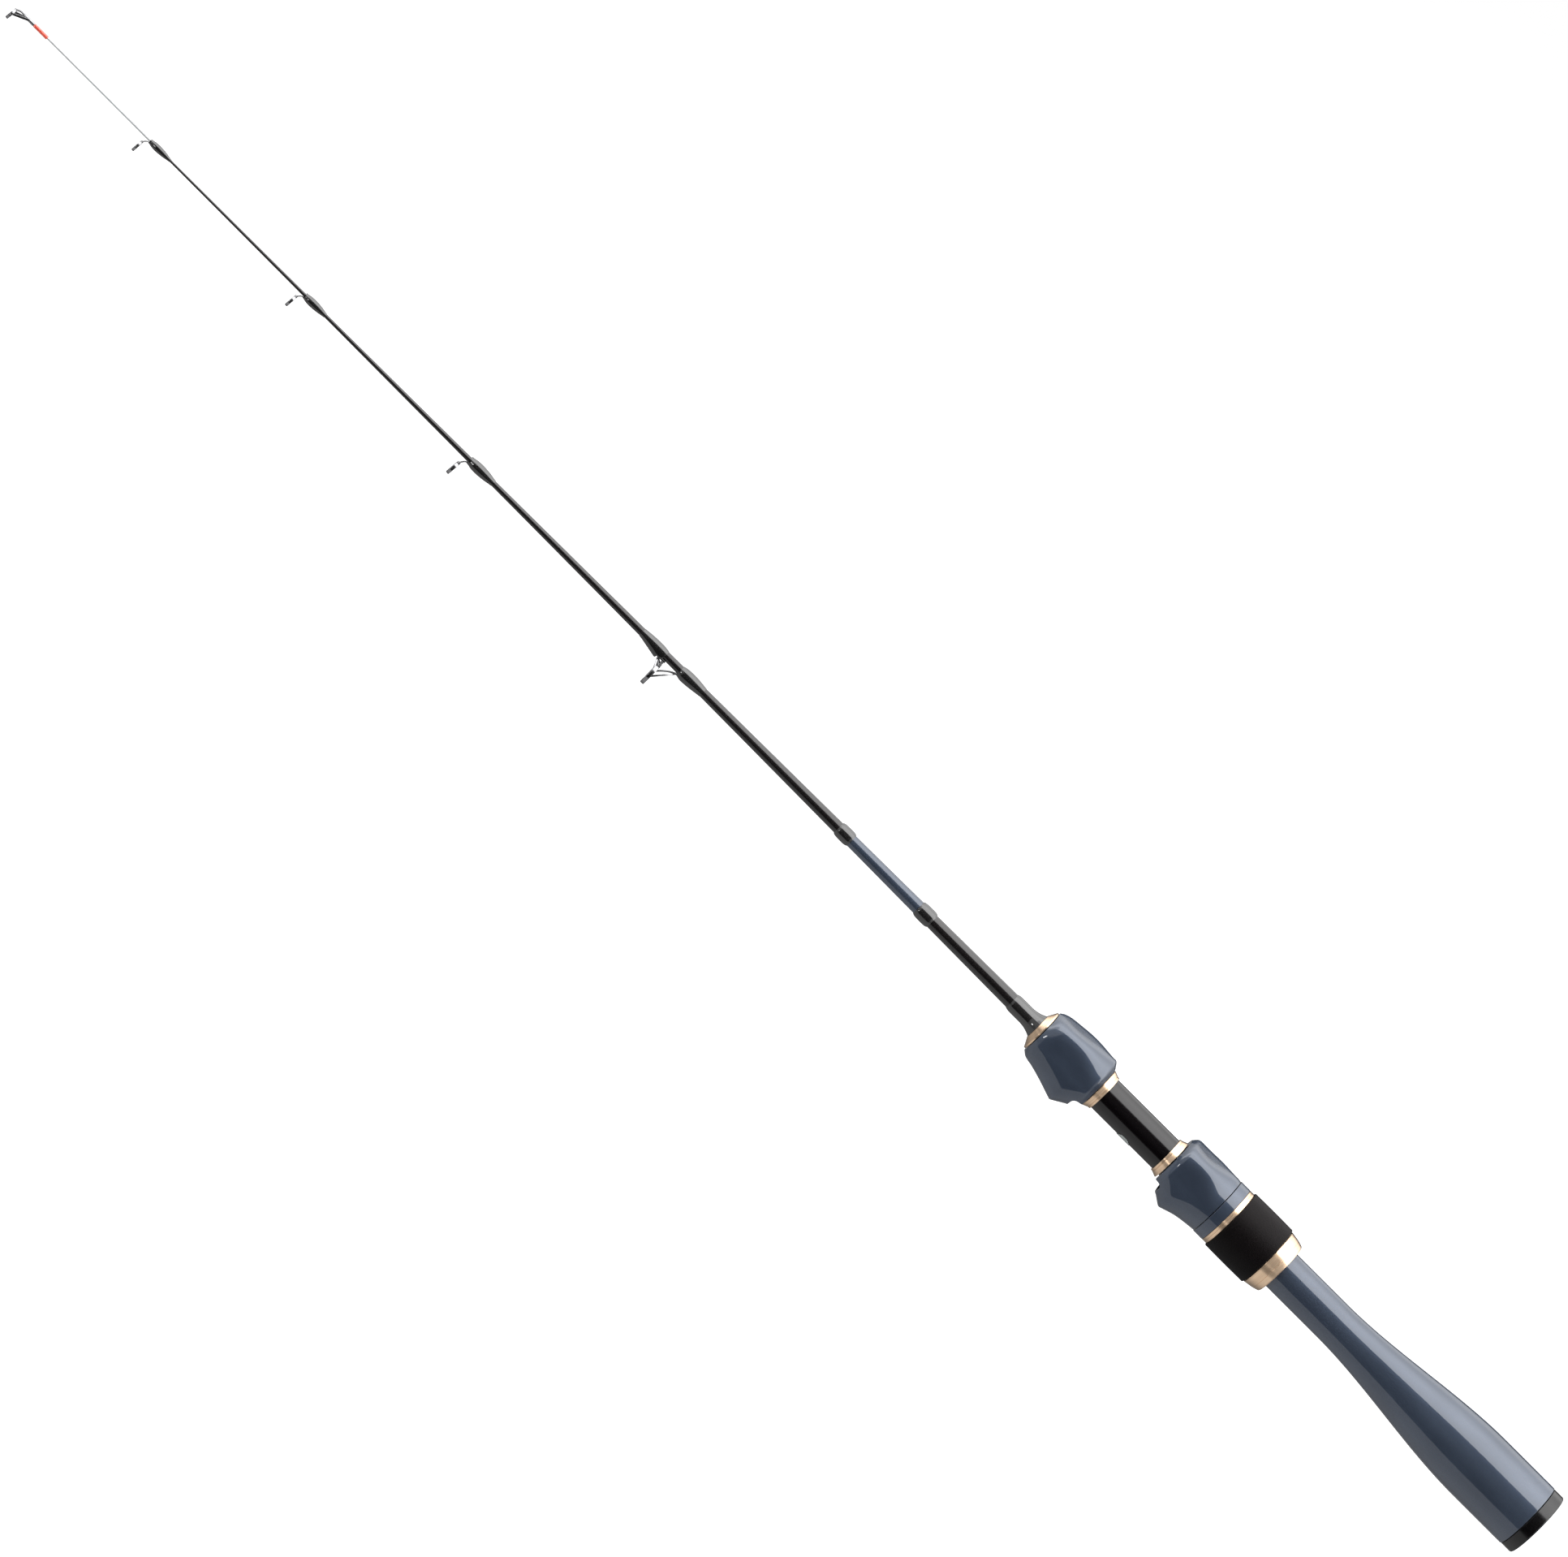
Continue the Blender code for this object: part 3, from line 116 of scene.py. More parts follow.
# Blank and tip
blank_seat_radius = 3.25 * mm
blank_tip_radius = 0.48 * mm
blank_curve = 1.45
blank_handle_taper = 0.0026
blank_wall_share = 0.34
tip_thick_radius = 0.44 * mm
tip_thin_radius = 0.36 * mm
splice_length = 10.0 * mm
splice_radius = 0.24 * mm
binding_rise = 0.55 * mm
fine_gap = 0.08 * mm

# Line guides: outer radius of the ring's frame, depth of its centre under the axis, lean
# and width of the band, the binding's rise, half the width of the foot, the strip's gauge
guides = {
    "guide_1": (2.7 * mm, 4.9 * mm, 4.0, 1.15 * mm, 0.80 * mm, 0.4 * mm, 0.28 * mm),
    "guide_2": (2.85 * mm, 5.3 * mm, 5.0, 1.25 * mm, 0.84 * mm, 0.45 * mm, 0.3 * mm),
    "guide_3": (3.25 * mm, 6.7 * mm, 5.0, 1.45 * mm, 0.92 * mm, 0.55 * mm, 0.35 * mm),
}
guide_sag = 0.2 * mm
ring_wall = 0.75 * mm
insert_wall = 0.55 * mm
foot_share = 0.5
stripper_ring = 5.2 * mm
stripper_drop = 9.1 * mm
stripper_band = 1.7 * mm
stripper_step = 2.7 * mm
stripper_slope = 0.4 * mm
stripper_root = 0.7 * mm
stripper_strip = 0.45 * mm
stripper_foot = 0.9 * mm
stripper_plate = 2.2 * mm
stripper_leg_width = 0.75 * mm
stripper_leg_gauge = 0.48 * mm
stripper_leg_bow = 1.2 * mm
stripper_front_sag = 1.25 * mm
stripper_rear_sag = 0.55 * mm
stripper_end_share = 0.12
tip_tube_radius = 0.74 * mm
tip_nose = 0.8 * mm
tip_ring = 2.63 * mm
tip_ring_band = 1.25 * mm
tip_ring_drop = 3.1 * mm
tip_ring_lean = 6.0
tip_leg_start = 1.9 * mm
tip_leg_width = 1.0 * mm
tip_leg_gauge = 0.4 * mm
tip_bar_gauge = 0.55 * mm

# A binding over a guide's foot, from its ring end to its thin end: share of its length,
# of its rise, and of the belly that covers the foot
foot_binding_shape = (
    (0.0, 0.0, 0.6),
    (0.06, 0.45, 0.9),
    (0.2, 0.85, 1.0),
    (0.42, 1.0, 0.6),
    (0.7, 0.72, 0.2),
    (0.88, 0.3, 0.05),
    (1.0, 0.06, 0.0),
)

# The room that gloss shows, in degrees of elevation with their softness, and in shares of
# the sphere along X
white = (1.0, 1.0, 1.0)
box_light = 5.6                 # the softbox over the rod
box_rises = (20.0, 5.0)
box_dims = (110.0, 25.0)        # past this it dims
box_dimmed = 0.44
box_stops = (155.0, 20.0)
box_left = 0.2
box_start = -0.58
box_end = 0.85
side_box_light = 3.0            # beyond its sides
side_box_rises = (78.0, 10.0)
opening_low = -35.0             # the dark opening round the camera
opening_high = 48.0
opening_soft = 1.5
opening_start = -0.29
opening_end = 0.45
opening_rises = (3.0, 17.0)
opening_low_light = 0.02
opening_light = 0.1
side_light = 0.5                # the room beside the opening, below the rod's level
high_side_light = 0.9           # and above it
side_rises = (-3.0, 8.0)
side_soft = 0.04
backdrop = 30.0                 # half the angle of the dark backdrop
backdrop_soft = 4.0
backdrop_light = 0.04
low_light = 0.88                # the floor
painted_shadow_fades = (-0.12, 0.3)     # painted shadow: the floor that gloss shows fades darker behind the rod between these Y places
painted_shadow_share = 0.3

# What matt surfaces and the camera get
ambient = 0.22
key_light = 2.8
key_light_low = 47.0
key_light_high = 110.0
key_light_distance = 1.2
key_light_length = 3.2
spark_radius = 0.1
spark_radiance = 22.0
spark_direction = (-0.53, -0.848, -0.12)
spark_distance = 1.5
floor_level = -0.35
floor_near = floor_level / tan(radians(-opening_low))
floor_far = 6.0
floor_reach = 5.0
floor_tone = 0.8
floor_lift = 0.8

# Segments round a piece, and the angle in degrees past which an edge is sharp
handle_sides = 160
rod_sides = 96
ring_sides = 72
crease = 30.0

record = frame["record"]
body_of = {node: body for body, nodes in record["behaviour"]["bodies"].items()
           for node in nodes}
slot_of = {row["node"]: row["material_slot"] for row in record["subparts"]}


def span(node):
    """Where a node starts and ends along the rod's axis."""
    low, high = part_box(node)
    return low.x, high.x


def reach(node):
    """The radius of a turned node."""
    low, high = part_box(node)
    return high.y


x_cap_front, x_cap_rear = span("butt_cap")
x_grip_front, x_grip_rear = span("rear_grip")
x_ring_front, x_ring_rear = span("end_ring")
x_barrel_front, x_barrel_rear = span("seat_barrel")
x_hood_front, x_hood_rear = span("moving_hood")
x_front_hood_front, x_front_hood_rear = span("front_hood")
x_nut_front = span("nut_ring")[0]
x_flare_front, x_flare_rear = span("flare_binding")
x_splice, x_blank_butt = span("blank")


# Shapes

def offset(x, value, *steps):
    """Points at some millimetres from a place along the rod and from a value there."""
    return [(x + along * mm, value + up * mm) for along, up in steps]


def between(start, end, steps):
    return [start + (end - start) * step / steps for step in range(steps + 1)]


def ease(share):
    share = min(max(share, 0.0), 1.0)
    return share * share * (3.0 - 2.0 * share)


def curve_through(points):
    """A smooth function through (x, value) points in rising order of x."""
    def slope(index):
        low = points[max(index - 1, 0)]
        high = points[min(index + 1, len(points) - 1)]
        return (high[1] - low[1]) / (high[0] - low[0])

    def value(x):
        if x <= points[0][0]:
            return points[0][1]
        for index in range(len(points) - 1):
            x0, v0 = points[index]
            x1, v1 = points[index + 1]
            if x <= x1:
                run = x1 - x0
                t = (x - x0) / run
                rise = v0 * (1 + 2 * t) * (1 - t) ** 2 + v1 * t * t * (3 - 2 * t)
                lean = slope(index) * t * (1 - t) ** 2 - slope(index + 1) * t * t * (1 - t)
                return rise + lean * run
        return points[-1][1]

    return value


def rounded(outline, steps=5):
    """An outline of (x, r) or (x, r, rounding) corners, with those corners rounded."""
    points = []
    for index, corner in enumerate(outline):
        here = Vector(corner[:2])
        if len(corner) < 3:
            points.append(tuple(here))
            continue
        before = Vector(outline[index - 1][:2]) - here
        after = Vector(outline[(index + 1) % len(outline)][:2]) - here
        start = here + before.normalized() * min(corner[2], 0.48 * before.length)
        end = here + after.normalized() * min(corner[2], 0.48 * after.length)
        for t in between(0.0, 1.0, steps):
            points.append(tuple(start * (1 - t) ** 2 + here * 2 * t * (1 - t) + end * t * t))
    return points


def smoothed(mesh):
    """Shade a mesh smoothly up to the crease angle."""
    mesh.shade_smooth()
    mesh.set_sharp_from_angle(angle=radians(crease))


def solid(name, builder):
    """An object from a bmesh."""
    bmesh.ops.remove_doubles(builder, verts=builder.verts, dist=1e-7)
    bmesh.ops.recalc_face_normals(builder, faces=builder.faces)
    mesh = bpy.data.meshes.new(name)
    builder.to_mesh(mesh)
    builder.free()
    smoothed(mesh)
    made = bpy.data.objects.new(name, mesh)
    bpy.context.scene.collection.objects.link(made)
    return made


def lathe(name, outline, sides=handle_sides):
    """Spin an outline of (x, r) points about the X axis into a closed solid."""
    builder = bmesh.new()
    rings = []
    for x, r in outline:
        around = sides if r > 1e-7 else 1
        rings.append([builder.verts.new((x, r * sin(2 * pi * side / sides),
                                         r * cos(2 * pi * side / sides)))
                      for side in range(around)])
    pairs = list(zip(rings, rings[1:]))
    if all(len(ring) > 1 for ring in rings):
        pairs.append((rings[-1], rings[0]))
    for ring, after in pairs:
        for side in range(sides if len(ring) + len(after) > 2 else 0):
            here, there = side % sides, (side + 1) % sides
            corners = []
            for row, index in ((ring, here), (ring, there), (after, there), (after, here)):
                corner = row[index % len(row)]
                if corner not in corners:
                    corners.append(corner)
            builder.faces.new(corners)
    return solid(name, builder)


def loft(name, sections, hollow=False):
    """Join equal loops of points, closed by flat ends or, if hollow, back to the first."""
    builder = bmesh.new()
    rows = [[builder.verts.new(point) for point in section] for section in sections]
    count = len(rows[0])
    pairs = list(zip(rows, rows[1:]))
    if hollow:
        pairs.append((rows[-1], rows[0]))
    else:
        builder.faces.new(rows[0])
        builder.faces.new(list(reversed(rows[-1])))
    for row, after in pairs:
        for index in range(count):
            following = (index + 1) % count
            builder.faces.new((row[index], row[following], after[following], after[index]))
    return solid(name, builder)


def combine(target, others, operation):
    """Apply a Boolean of each of the others to the target, and remove them."""
    for other in others:
        step = target.modifiers.new(other.name, "BOOLEAN")
        step.operation = operation
        step.solver = "EXACT"
        step.object = other
    graph = bpy.context.evaluated_depsgraph_get()
    mesh = bpy.data.meshes.new_from_object(target.evaluated_get(graph))
    target.modifiers.clear()
    target.data = mesh
    smoothed(mesh)
    for other in others:
        bpy.data.objects.remove(other, do_unlink=True)
    return target


def box(name, low, high):
    builder = bmesh.new()
    size = Vector(high) - Vector(low)
    middle = (Vector(high) + Vector(low)) / 2
    place = Matrix.Translation(middle) @ Matrix.Diagonal((*size, 1.0))
    bmesh.ops.create_cube(builder, size=1.0, matrix=place)
    return solid(name, builder)


def prism(name, outline, half_width):
    """A bar along Y from an outline of (x, z) points."""
    return loft(name, [[(x, y, z) for x, z in outline] for y in (-half_width, half_width)])


# Materials

class Graph:
    """Shorthand for a tree of shader nodes."""

    def __init__(self, tree):
        self.tree = tree

    def plug(self, socket, value):
        """Set a socket to a constant, or link it to another node's output."""
        if isinstance(value, bpy.types.NodeSocket):
            self.tree.links.new(value, socket)
        else:
            socket.default_value = (*value, 1.0) if socket.type == "RGBA" else value

    def node(self, kind, values=(), **settings):
        """A new node's outputs, its inputs set in their order or by their keys."""
        made = self.tree.nodes.new(kind)
        for setting, value in settings.items():
            setattr(made, setting, value)
        for key, value in values.items() if isinstance(values, dict) else enumerate(values):
            self.plug(made.inputs[key], value)
        return made.outputs

    def maths(self, operation, first, second=0.0):
        return self.node("ShaderNodeMath", (first, second), operation=operation)[0]

    def spread(self, value, low, high, to_low=0.0, to_high=1.0, **settings):
        """A value's range stretched to another one, and held at its ends."""
        return self.node("ShaderNodeMapRange", (value, low, high, to_low, to_high), **settings)[0]

    def fade(self, value, start, end, first=0.0, last=1.0):
        """A smooth step between two results as a value goes from start to end."""
        return self.spread(value, start, end, first, last, interpolation_type="SMOOTHSTEP")

    def choose(self, share, first, second):
        """The first number where the share is 0, the second where it is 1."""
        rest = self.maths("SUBTRACT", 1.0, share)
        return self.maths("ADD", self.maths("MULTIPLY", rest, first),
                          self.maths("MULTIPLY", share, second))

    def mix(self, factor, first, second):
        """A colour between two others."""
        return self.node("ShaderNodeMix", {0: factor, 6: first, 7: second}, data_type="RGBA")[2]


class Finish(Graph):
    """A procedural material, built from noises in the object's own coordinates."""

    def __init__(self, name, colour, roughness, metallic=0.0, **constants):
        self.material = bpy.data.materials.new(name)
        self.material.use_nodes = True
        super().__init__(self.material.node_tree)
        self.shader = self.tree.nodes["Principled BSDF"]
        self.put(Base_Color=colour, Roughness=roughness, Metallic=metallic, **constants)
        self.place = self.node("ShaderNodeTexCoord")["Object"]

    def put(self, **values):
        """Set sockets of the shader, each to a constant or another node's output."""
        for socket, value in values.items():
            self.plug(self.shader.inputs[socket.replace("_", " ")], value)
        return self.material

    def scaled(self, grain):
        """Coordinates in which one unit is a grain's size, each way or along each axis."""
        sizes = grain if isinstance(grain, tuple) else (grain,) * 3
        shrink = tuple(1.0 / size for size in sizes)
        return self.node("ShaderNodeMapping", {"Vector": self.place, "Scale": shrink})[0]

    def noise(self, grain, detail=2.0, rough=0.5):
        values = {"Vector": self.scaled(grain), "Scale": 1.0, "Detail": detail, "Roughness": rough}
        return self.node("ShaderNodeTexNoise", values)["Fac"]

    def cells(self, grain):
        values = {"Vector": self.scaled(grain), "Scale": 1.0}
        return self.node("ShaderNodeTexVoronoi", values)["Distance"]

    def winding(self, pitch):
        """Ridges that wind round the rod, one for each pitch along it."""
        x, y, z = self.node("ShaderNodeSeparateXYZ", (self.place,))
        along = self.maths("MULTIPLY", x, 2 * pi / pitch)
        return self.maths("SINE", self.maths("ADD", along, self.maths("ARCTAN2", y, z)))

    def middle(self, noise, low=0.0, high=1.0):
        """A noise's middle range stretched to another one."""
        return self.spread(noise, 0.3, 0.7, low, high)

    def bump(self, height, depth, under=None):
        """A relief of the given depth in metres, on top of another one if given."""
        values = {"Height": height, "Distance": depth, "Strength": 1.0}
        if under is not None:
            values["Normal"] = under
        return self.node("ShaderNodeBump", values)["Normal"]


def lacquer(name, deep, bright):
    """Gloss lacquer with a fine flake under a clear coat."""
    finish = Finish(name, deep, 0.4, 0.25, Coat_Weight=1.0, Coat_Roughness=0.02,
                    Coat_IOR=1.5, Specular_IOR_Level=0.0)
    flake = finish.spread(finish.noise(0.12 * mm, 3.0, 0.7), 0.42, 0.72)
    drift = finish.spread(finish.noise((38 * mm, 11 * mm, 11 * mm), 3.0), 0.35, 0.65)
    colour = finish.mix(flake, deep, bright)
    return finish.put(Base_Color=finish.mix(drift, colour, tuple(0.9 * part for part in deep)),
                      Roughness=finish.spread(flake, 0.0, 1.0, 0.44, 0.32),
                      Coat_Normal=finish.bump(finish.noise(3.4 * mm, 1.0), 0.02 * mm))


def turned_metal():
    """Champagne anodised aluminium with the marks of the lathe round it."""
    finish = Finish("champagne_metal", (0.78, 0.57, 0.39), 0.35, 1.0, Anisotropic=1.0,
                    Anisotropic_Rotation=0.25)
    round_axis = finish.node("ShaderNodeTangent", direction_type="RADIAL", axis="X")
    coarse = finish.noise((0.5 * mm, 60 * mm, 60 * mm), 2.0, 0.6)
    fine = finish.noise((0.08 * mm, 9 * mm, 9 * mm), 2.0, 0.6)
    tint = finish.mix(finish.middle(coarse), (0.70, 0.50, 0.34), (0.84, 0.63, 0.44))
    return finish.put(Tangent=round_axis[0], Base_Color=tint,
                      Roughness=finish.middle(fine, 0.31, 0.40),
                      Normal=finish.bump(fine, 0.004 * mm, finish.bump(coarse, 0.015 * mm)))


def wound_resin():
    """Fine black thread, wound round the rod under a clear gloss resin."""
    finish = Finish("wound_resin", (0.004, 0.003, 0.004), 0.4, Coat_Weight=1.0,
                    Coat_Roughness=0.03, Coat_IOR=1.6, Specular_IOR_Level=0.1)
    thread = finish.winding(0.16 * mm)
    shade = finish.spread(thread, -1.0, 1.0)
    return finish.put(Base_Color=finish.mix(shade, (0.002, 0.002, 0.002), (0.008, 0.007, 0.007)),
                      Normal=finish.bump(thread, 0.012 * mm),
                      Coat_Normal=finish.bump(finish.noise(2.2 * mm, 1.0), 0.008 * mm))


def moulded_black():
    """Satin black moulding with a fine grain."""
    finish = Finish("black_satin", (0.003, 0.002, 0.003), 0.14, Specular_IOR_Level=0.36)
    grain = finish.noise(0.10 * mm, 3.0, 0.6)
    tint = finish.mix(grain, (0.0014, 0.0008, 0.0012), (0.0036, 0.0026, 0.0032))
    return finish.put(Base_Color=tint, Roughness=finish.spread(grain, 0.35, 0.65, 0.11, 0.18),
                      Normal=finish.bump(grain, 0.001 * mm))


def clear_coated_fibre():
    """Black fibre blank: lengthwise strands under thin spiral marks and a clear coat."""
    finish = Finish("blank_black", (0.005, 0.004, 0.0045), 0.4, Coat_Weight=1.0,
                    Coat_Roughness=0.1, Coat_IOR=1.42, Specular_IOR_Level=0.1)
    strands = finish.noise((6 * mm, 0.09 * mm, 0.09 * mm), 3.0, 0.6)
    spiral = finish.spread(finish.winding(2.4 * mm), 0.2, 1.0)
    colour = finish.mix(strands, (0.0025, 0.002, 0.002), (0.010, 0.008, 0.0085))
    return finish.put(Base_Color=finish.mix(spiral, colour, (0.005, 0.004, 0.0045)),
                      Roughness=finish.middle(strands, 0.30, 0.46),
                      Coat_Normal=finish.bump(spiral, 0.003 * mm))


def closed_cell_foam():
    """Matt black foam, cut through so that its cells show as fine pale speckle."""
    finish = Finish("foam", (0.002, 0.002, 0.002), 0.5, Specular_IOR_Level=0.07)
    cells = finish.cells(0.30 * mm)
    speckle = finish.spread(finish.noise(0.24 * mm, 3.0, 0.75), 0.52, 0.78)
    cloud = finish.noise(4 * mm, 2.0)
    base = finish.mix(cloud, (0.0020, 0.0014, 0.0015), (0.0036, 0.0026, 0.0028))
    return finish.put(Base_Color=finish.mix(speckle, base, (0.011, 0.009, 0.0095)),
                      Roughness=finish.spread(speckle, 0.0, 1.0, 0.52, 0.42),
                      Normal=finish.bump(cells, 0.05 * mm))


def satin_rubber():
    """The butt cap: black rubber with a faint bloom and rubbed patches."""
    finish = Finish("cap_black", (0.003, 0.003, 0.003), 0.2, Specular_IOR_Level=0.34)
    patches = finish.noise((5 * mm, 3 * mm, 3 * mm), 4.0, 0.6)
    tint = finish.mix(patches, (0.0022, 0.0020, 0.0024), (0.0050, 0.0046, 0.0050))
    return finish.put(Base_Color=tint, Roughness=finish.middle(patches, 0.15, 0.24),
                      Normal=finish.bump(finish.noise(0.16 * mm, 2.0, 0.6), 0.002 * mm))


def polished_steel():
    """Stamped steel strip, tumbled bright, with hairline scratches."""
    finish = Finish("steel", (0.19, 0.19, 0.20), 0.2, 1.0)
    hairlines = finish.noise((1.5 * mm, 0.05 * mm, 0.4 * mm), 3.0, 0.7)
    stain = finish.noise(1.1 * mm, 3.0)
    return finish.put(Base_Color=finish.mix(stain, (0.15, 0.15, 0.16), (0.28, 0.28, 0.28)),
                      Roughness=finish.middle(hairlines, 0.14, 0.26),
                      Normal=finish.bump(hairlines, 0.001 * mm))


def dark_ceramic():
    """The guides' smooth rings: near-black ceramic, polished."""
    finish = Finish("ring_ceramic", (0.035, 0.035, 0.038), 0.08, Specular_IOR_Level=0.7)
    cloud = finish.noise(0.6 * mm, 3.0)
    return finish.put(Base_Color=finish.mix(cloud, (0.022, 0.022, 0.025), (0.055, 0.055, 0.060)),
                      Roughness=finish.middle(cloud, 0.05, 0.13))


def painted(name, deep, bright, grain):
    """Gloss enamel that pools a little darker here and there."""
    finish = Finish(name, deep, 0.28, Coat_Weight=0.8, Coat_Roughness=0.05)
    pool = finish.noise(grain, 3.0)
    return finish.put(Base_Color=finish.mix(finish.middle(pool), deep, bright),
                      Roughness=finish.middle(pool, 0.22, 0.36),
                      Coat_Normal=finish.bump(pool, 0.004 * mm))


def silver_film():
    """The small label: bare satin film with a faint sheen along it."""
    finish = Finish("label_grey", (0.42, 0.46, 0.45), 0.3, 0.6)
    streaks = finish.noise((0.15 * mm, 4 * mm, 4 * mm), 2.0)
    return finish.put(Base_Color=finish.mix(streaks, (0.34, 0.38, 0.37), (0.52, 0.55, 0.54)),
                      Roughness=finish.middle(streaks, 0.24, 0.38))


def rough_filler():
    """The arbors: coarse grey filler, out of sight."""
    finish = Finish("arbor_grey", (0.25, 0.24, 0.22), 0.85)
    pores = finish.noise(0.5 * mm, 3.0)
    return finish.put(Base_Color=finish.mix(pores, (0.18, 0.17, 0.16), (0.31, 0.30, 0.27)),
                      Normal=finish.bump(pores, 0.05 * mm))


paints = {
    "slate_gloss": lacquer("slate_gloss", (0.047, 0.062, 0.093), (0.074, 0.095, 0.136)),
    "champagne_metal": turned_metal(),
    "black_resin": wound_resin(),
    "black_satin": moulded_black(),
    "blank_black": clear_coated_fibre(),
    "foam": closed_cell_foam(),
    "steel": polished_steel(),
    "ring_ceramic": dark_ceramic(),
    "tip_white": painted("tip_white", (0.38, 0.39, 0.40), (0.46, 0.47, 0.48), 3 * mm),
    "marker_red": painted("marker_red", (0.70, 0.045, 0.02), (0.86, 0.13, 0.07), 1.2 * mm),
    "cap_black": satin_rubber(),
    "label_grey": silver_film(),
    "arbor_grey": rough_filler(),
}


def dress(made, node):
    """Let a piece stand for a CAD node: same body, its slot's finish."""
    made.data.materials.clear()
    made.data.materials.append(paints[slot_of[node]])
    normals = made.modifiers.new("even_normals", "WEIGHTED_NORMAL")
    normals.keep_sharp = True
    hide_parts(node)
    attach(made, body_of[node])
    return made


# Handle

def spin(name, node, outline, steps=5, sides=handle_sides):
    """A turned piece that stands for a node, with the outline's marked corners rounded."""
    return dress(lathe(name, rounded(outline, steps), sides), node)


def butt_cap():
    joint = x_grip_rear + glue_gap
    radius = reach("butt_cap")
    dish = x_cap_rear - cap_groove_depth
    spin("butt_cap_moulding", "butt_cap", [
        (x_cap_front, 0.0), (x_cap_front, cap_plug_radius, 0.4 * mm), (joint, cap_plug_radius),
        (joint, radius, 0.25 * mm), (x_cap_rear - 1.7 * mm, radius),
        (x_cap_rear, radius, cap_rounding), (x_cap_rear, 10.6 * mm, fine_round),
        (dish, 10.2 * mm, fine_round), (dish, 9.6 * mm, fine_round),
        (x_cap_rear, 9.2 * mm, fine_round), (x_cap_rear, 0.0)], 7)


def grip_radius(x):
    share = (x - x_ring_rear - grip_swell_start) / grip_swell_length
    return grip_front_radius + (reach("rear_grip") - grip_front_radius) * ease(share)


def rear_grip():
    bore = cap_plug_radius + glue_gap
    socket = x_cap_front - glue_gap
    radius = reach("rear_grip")
    swell_start = x_ring_rear + grip_swell_start
    stations = between(x_grip_front + 1 * mm, swell_start, 8)
    stations += between(swell_start, swell_start + grip_swell_length, 60)[1:]
    spin("rear_grip_body", "rear_grip", [
        (x_grip_front, grip_bore_radius), (x_grip_front, grip_front_radius, fine_round),
        *((x, grip_radius(x)) for x in stations), (x_grip_rear - 1.0 * mm, radius),
        (x_grip_rear, radius, 0.22 * mm), (x_grip_rear, bore), (socket, bore),
        (socket, grip_bore_radius)])


def end_ring():
    radius = reach("end_ring")
    side = radius - 0.65 * mm
    groove = x_ring_rear - 2.8 * mm
    seat = grip_front_radius + glue_gap
    inside = x_grip_front - glue_gap
    spin("end_ring_turning", "end_ring", [
        (x_ring_front, ring_bore_radius), (x_ring_front, radius, 0.35 * mm),
        (groove - 0.15 * mm, side + 0.04 * mm, 0.05 * mm), (groove, side - 0.15 * mm),
        (groove + 0.15 * mm, side - 0.03 * mm, 0.05 * mm),
        (x_ring_rear - 1.4 * mm, radius - 1.05 * mm),
        (x_ring_rear, radius - 1.5 * mm, 1.2 * mm), (x_ring_rear, seat), (inside, seat),
        (inside, ring_bore_radius)], 6)


def thread_ridge(name, start, end, root):
    """One helical ridge on the barrel, a closed bar of trapezoid section."""
    turns = (end - start) / thread_pitch
    steps = int(turns * rod_sides)
    width = 2 * thread_flank + thread_crest
    corners = ((0.0, -0.1 * mm), (thread_flank, thread_height),
               (thread_flank + thread_crest, thread_height), (width, -0.1 * mm))
    sections = []
    for step in range(steps + 1):
        angle = 2 * pi * step / rod_sides
        ends = min(step, steps - step) / rod_sides
        height = ease(ends * 6)
        place = start + (end - start - width) * step / steps
        section = []
        for along, up in corners:
            radius = root + (up * height if up > 0 else up)
            section.append((place + along, radius * cos(angle), radius * sin(angle)))
        sections.append(section)
    return loft(name, sections)


def seat_barrel():
    radius = reach("seat_barrel")
    root = radius - thread_height
    relief = x_nut_front - lock_travel - 3 * glue_gap - thread_pitch
    barrel = lathe("seat_barrel_tube", rounded([
        (x_barrel_front, barrel_bore_radius), (x_barrel_front, radius, 0.2 * mm),
        (relief, radius, 0.2 * mm), (relief, root), (x_barrel_rear, root),
        (x_barrel_rear, barrel_bore_radius)]), rod_sides)
    thread_end = x_nut_front + 4 * thread_pitch
    ridge = thread_ridge("seat_thread", relief + thread_pitch, thread_end, root)
    key_room = key_width / 2 + glue_gap
    for cut in (ridge, barrel):
        slot = box("keyway", (x_hood_front, -key_room, radius - key_height - glue_gap),
                   (x_barrel_rear + glue_gap, key_room, radius + glue_gap))
        dress(combine(cut, [slot], "DIFFERENCE"), "seat_barrel")


def cone_ring(node, wide_end, narrow_end):
    """A turned ring that tapers from a hood's mouth to the barrel, with a fine groove."""
    toward = 1.0 if narrow_end > wide_end else -1.0
    wide = reach(node)
    narrow = wide - 1.05 * mm
    bore = reach("seat_barrel") + glue_gap
    groove = narrow_end - toward * 0.95 * mm
    lip = toward * 0.12 * mm
    spin(node + "_turning", node, [
        (wide_end, bore), (wide_end, wide, 0.35 * mm),
        (groove - lip, narrow + 0.2 * mm, 0.04 * mm), (groove, narrow + 0.02 * mm),
        (groove + lip, narrow + 0.14 * mm, 0.04 * mm), (narrow_end, narrow, fine_round),
        (narrow_end, bore)])


def front_check():
    front, rear = span("front_check")
    wide = reach("front_check")
    bore = blank_radius(rear) + fine_gap
    spin("front_check_turning", "front_check", [
        (front, bore), (front, check_front_radius, 0.2 * mm),
        (rear - 0.62 * mm, wide - 0.12 * mm, 0.05 * mm), (rear - 0.6 * mm, wide, 0.12 * mm),
        (rear, wide, 0.12 * mm), (rear, bore)])


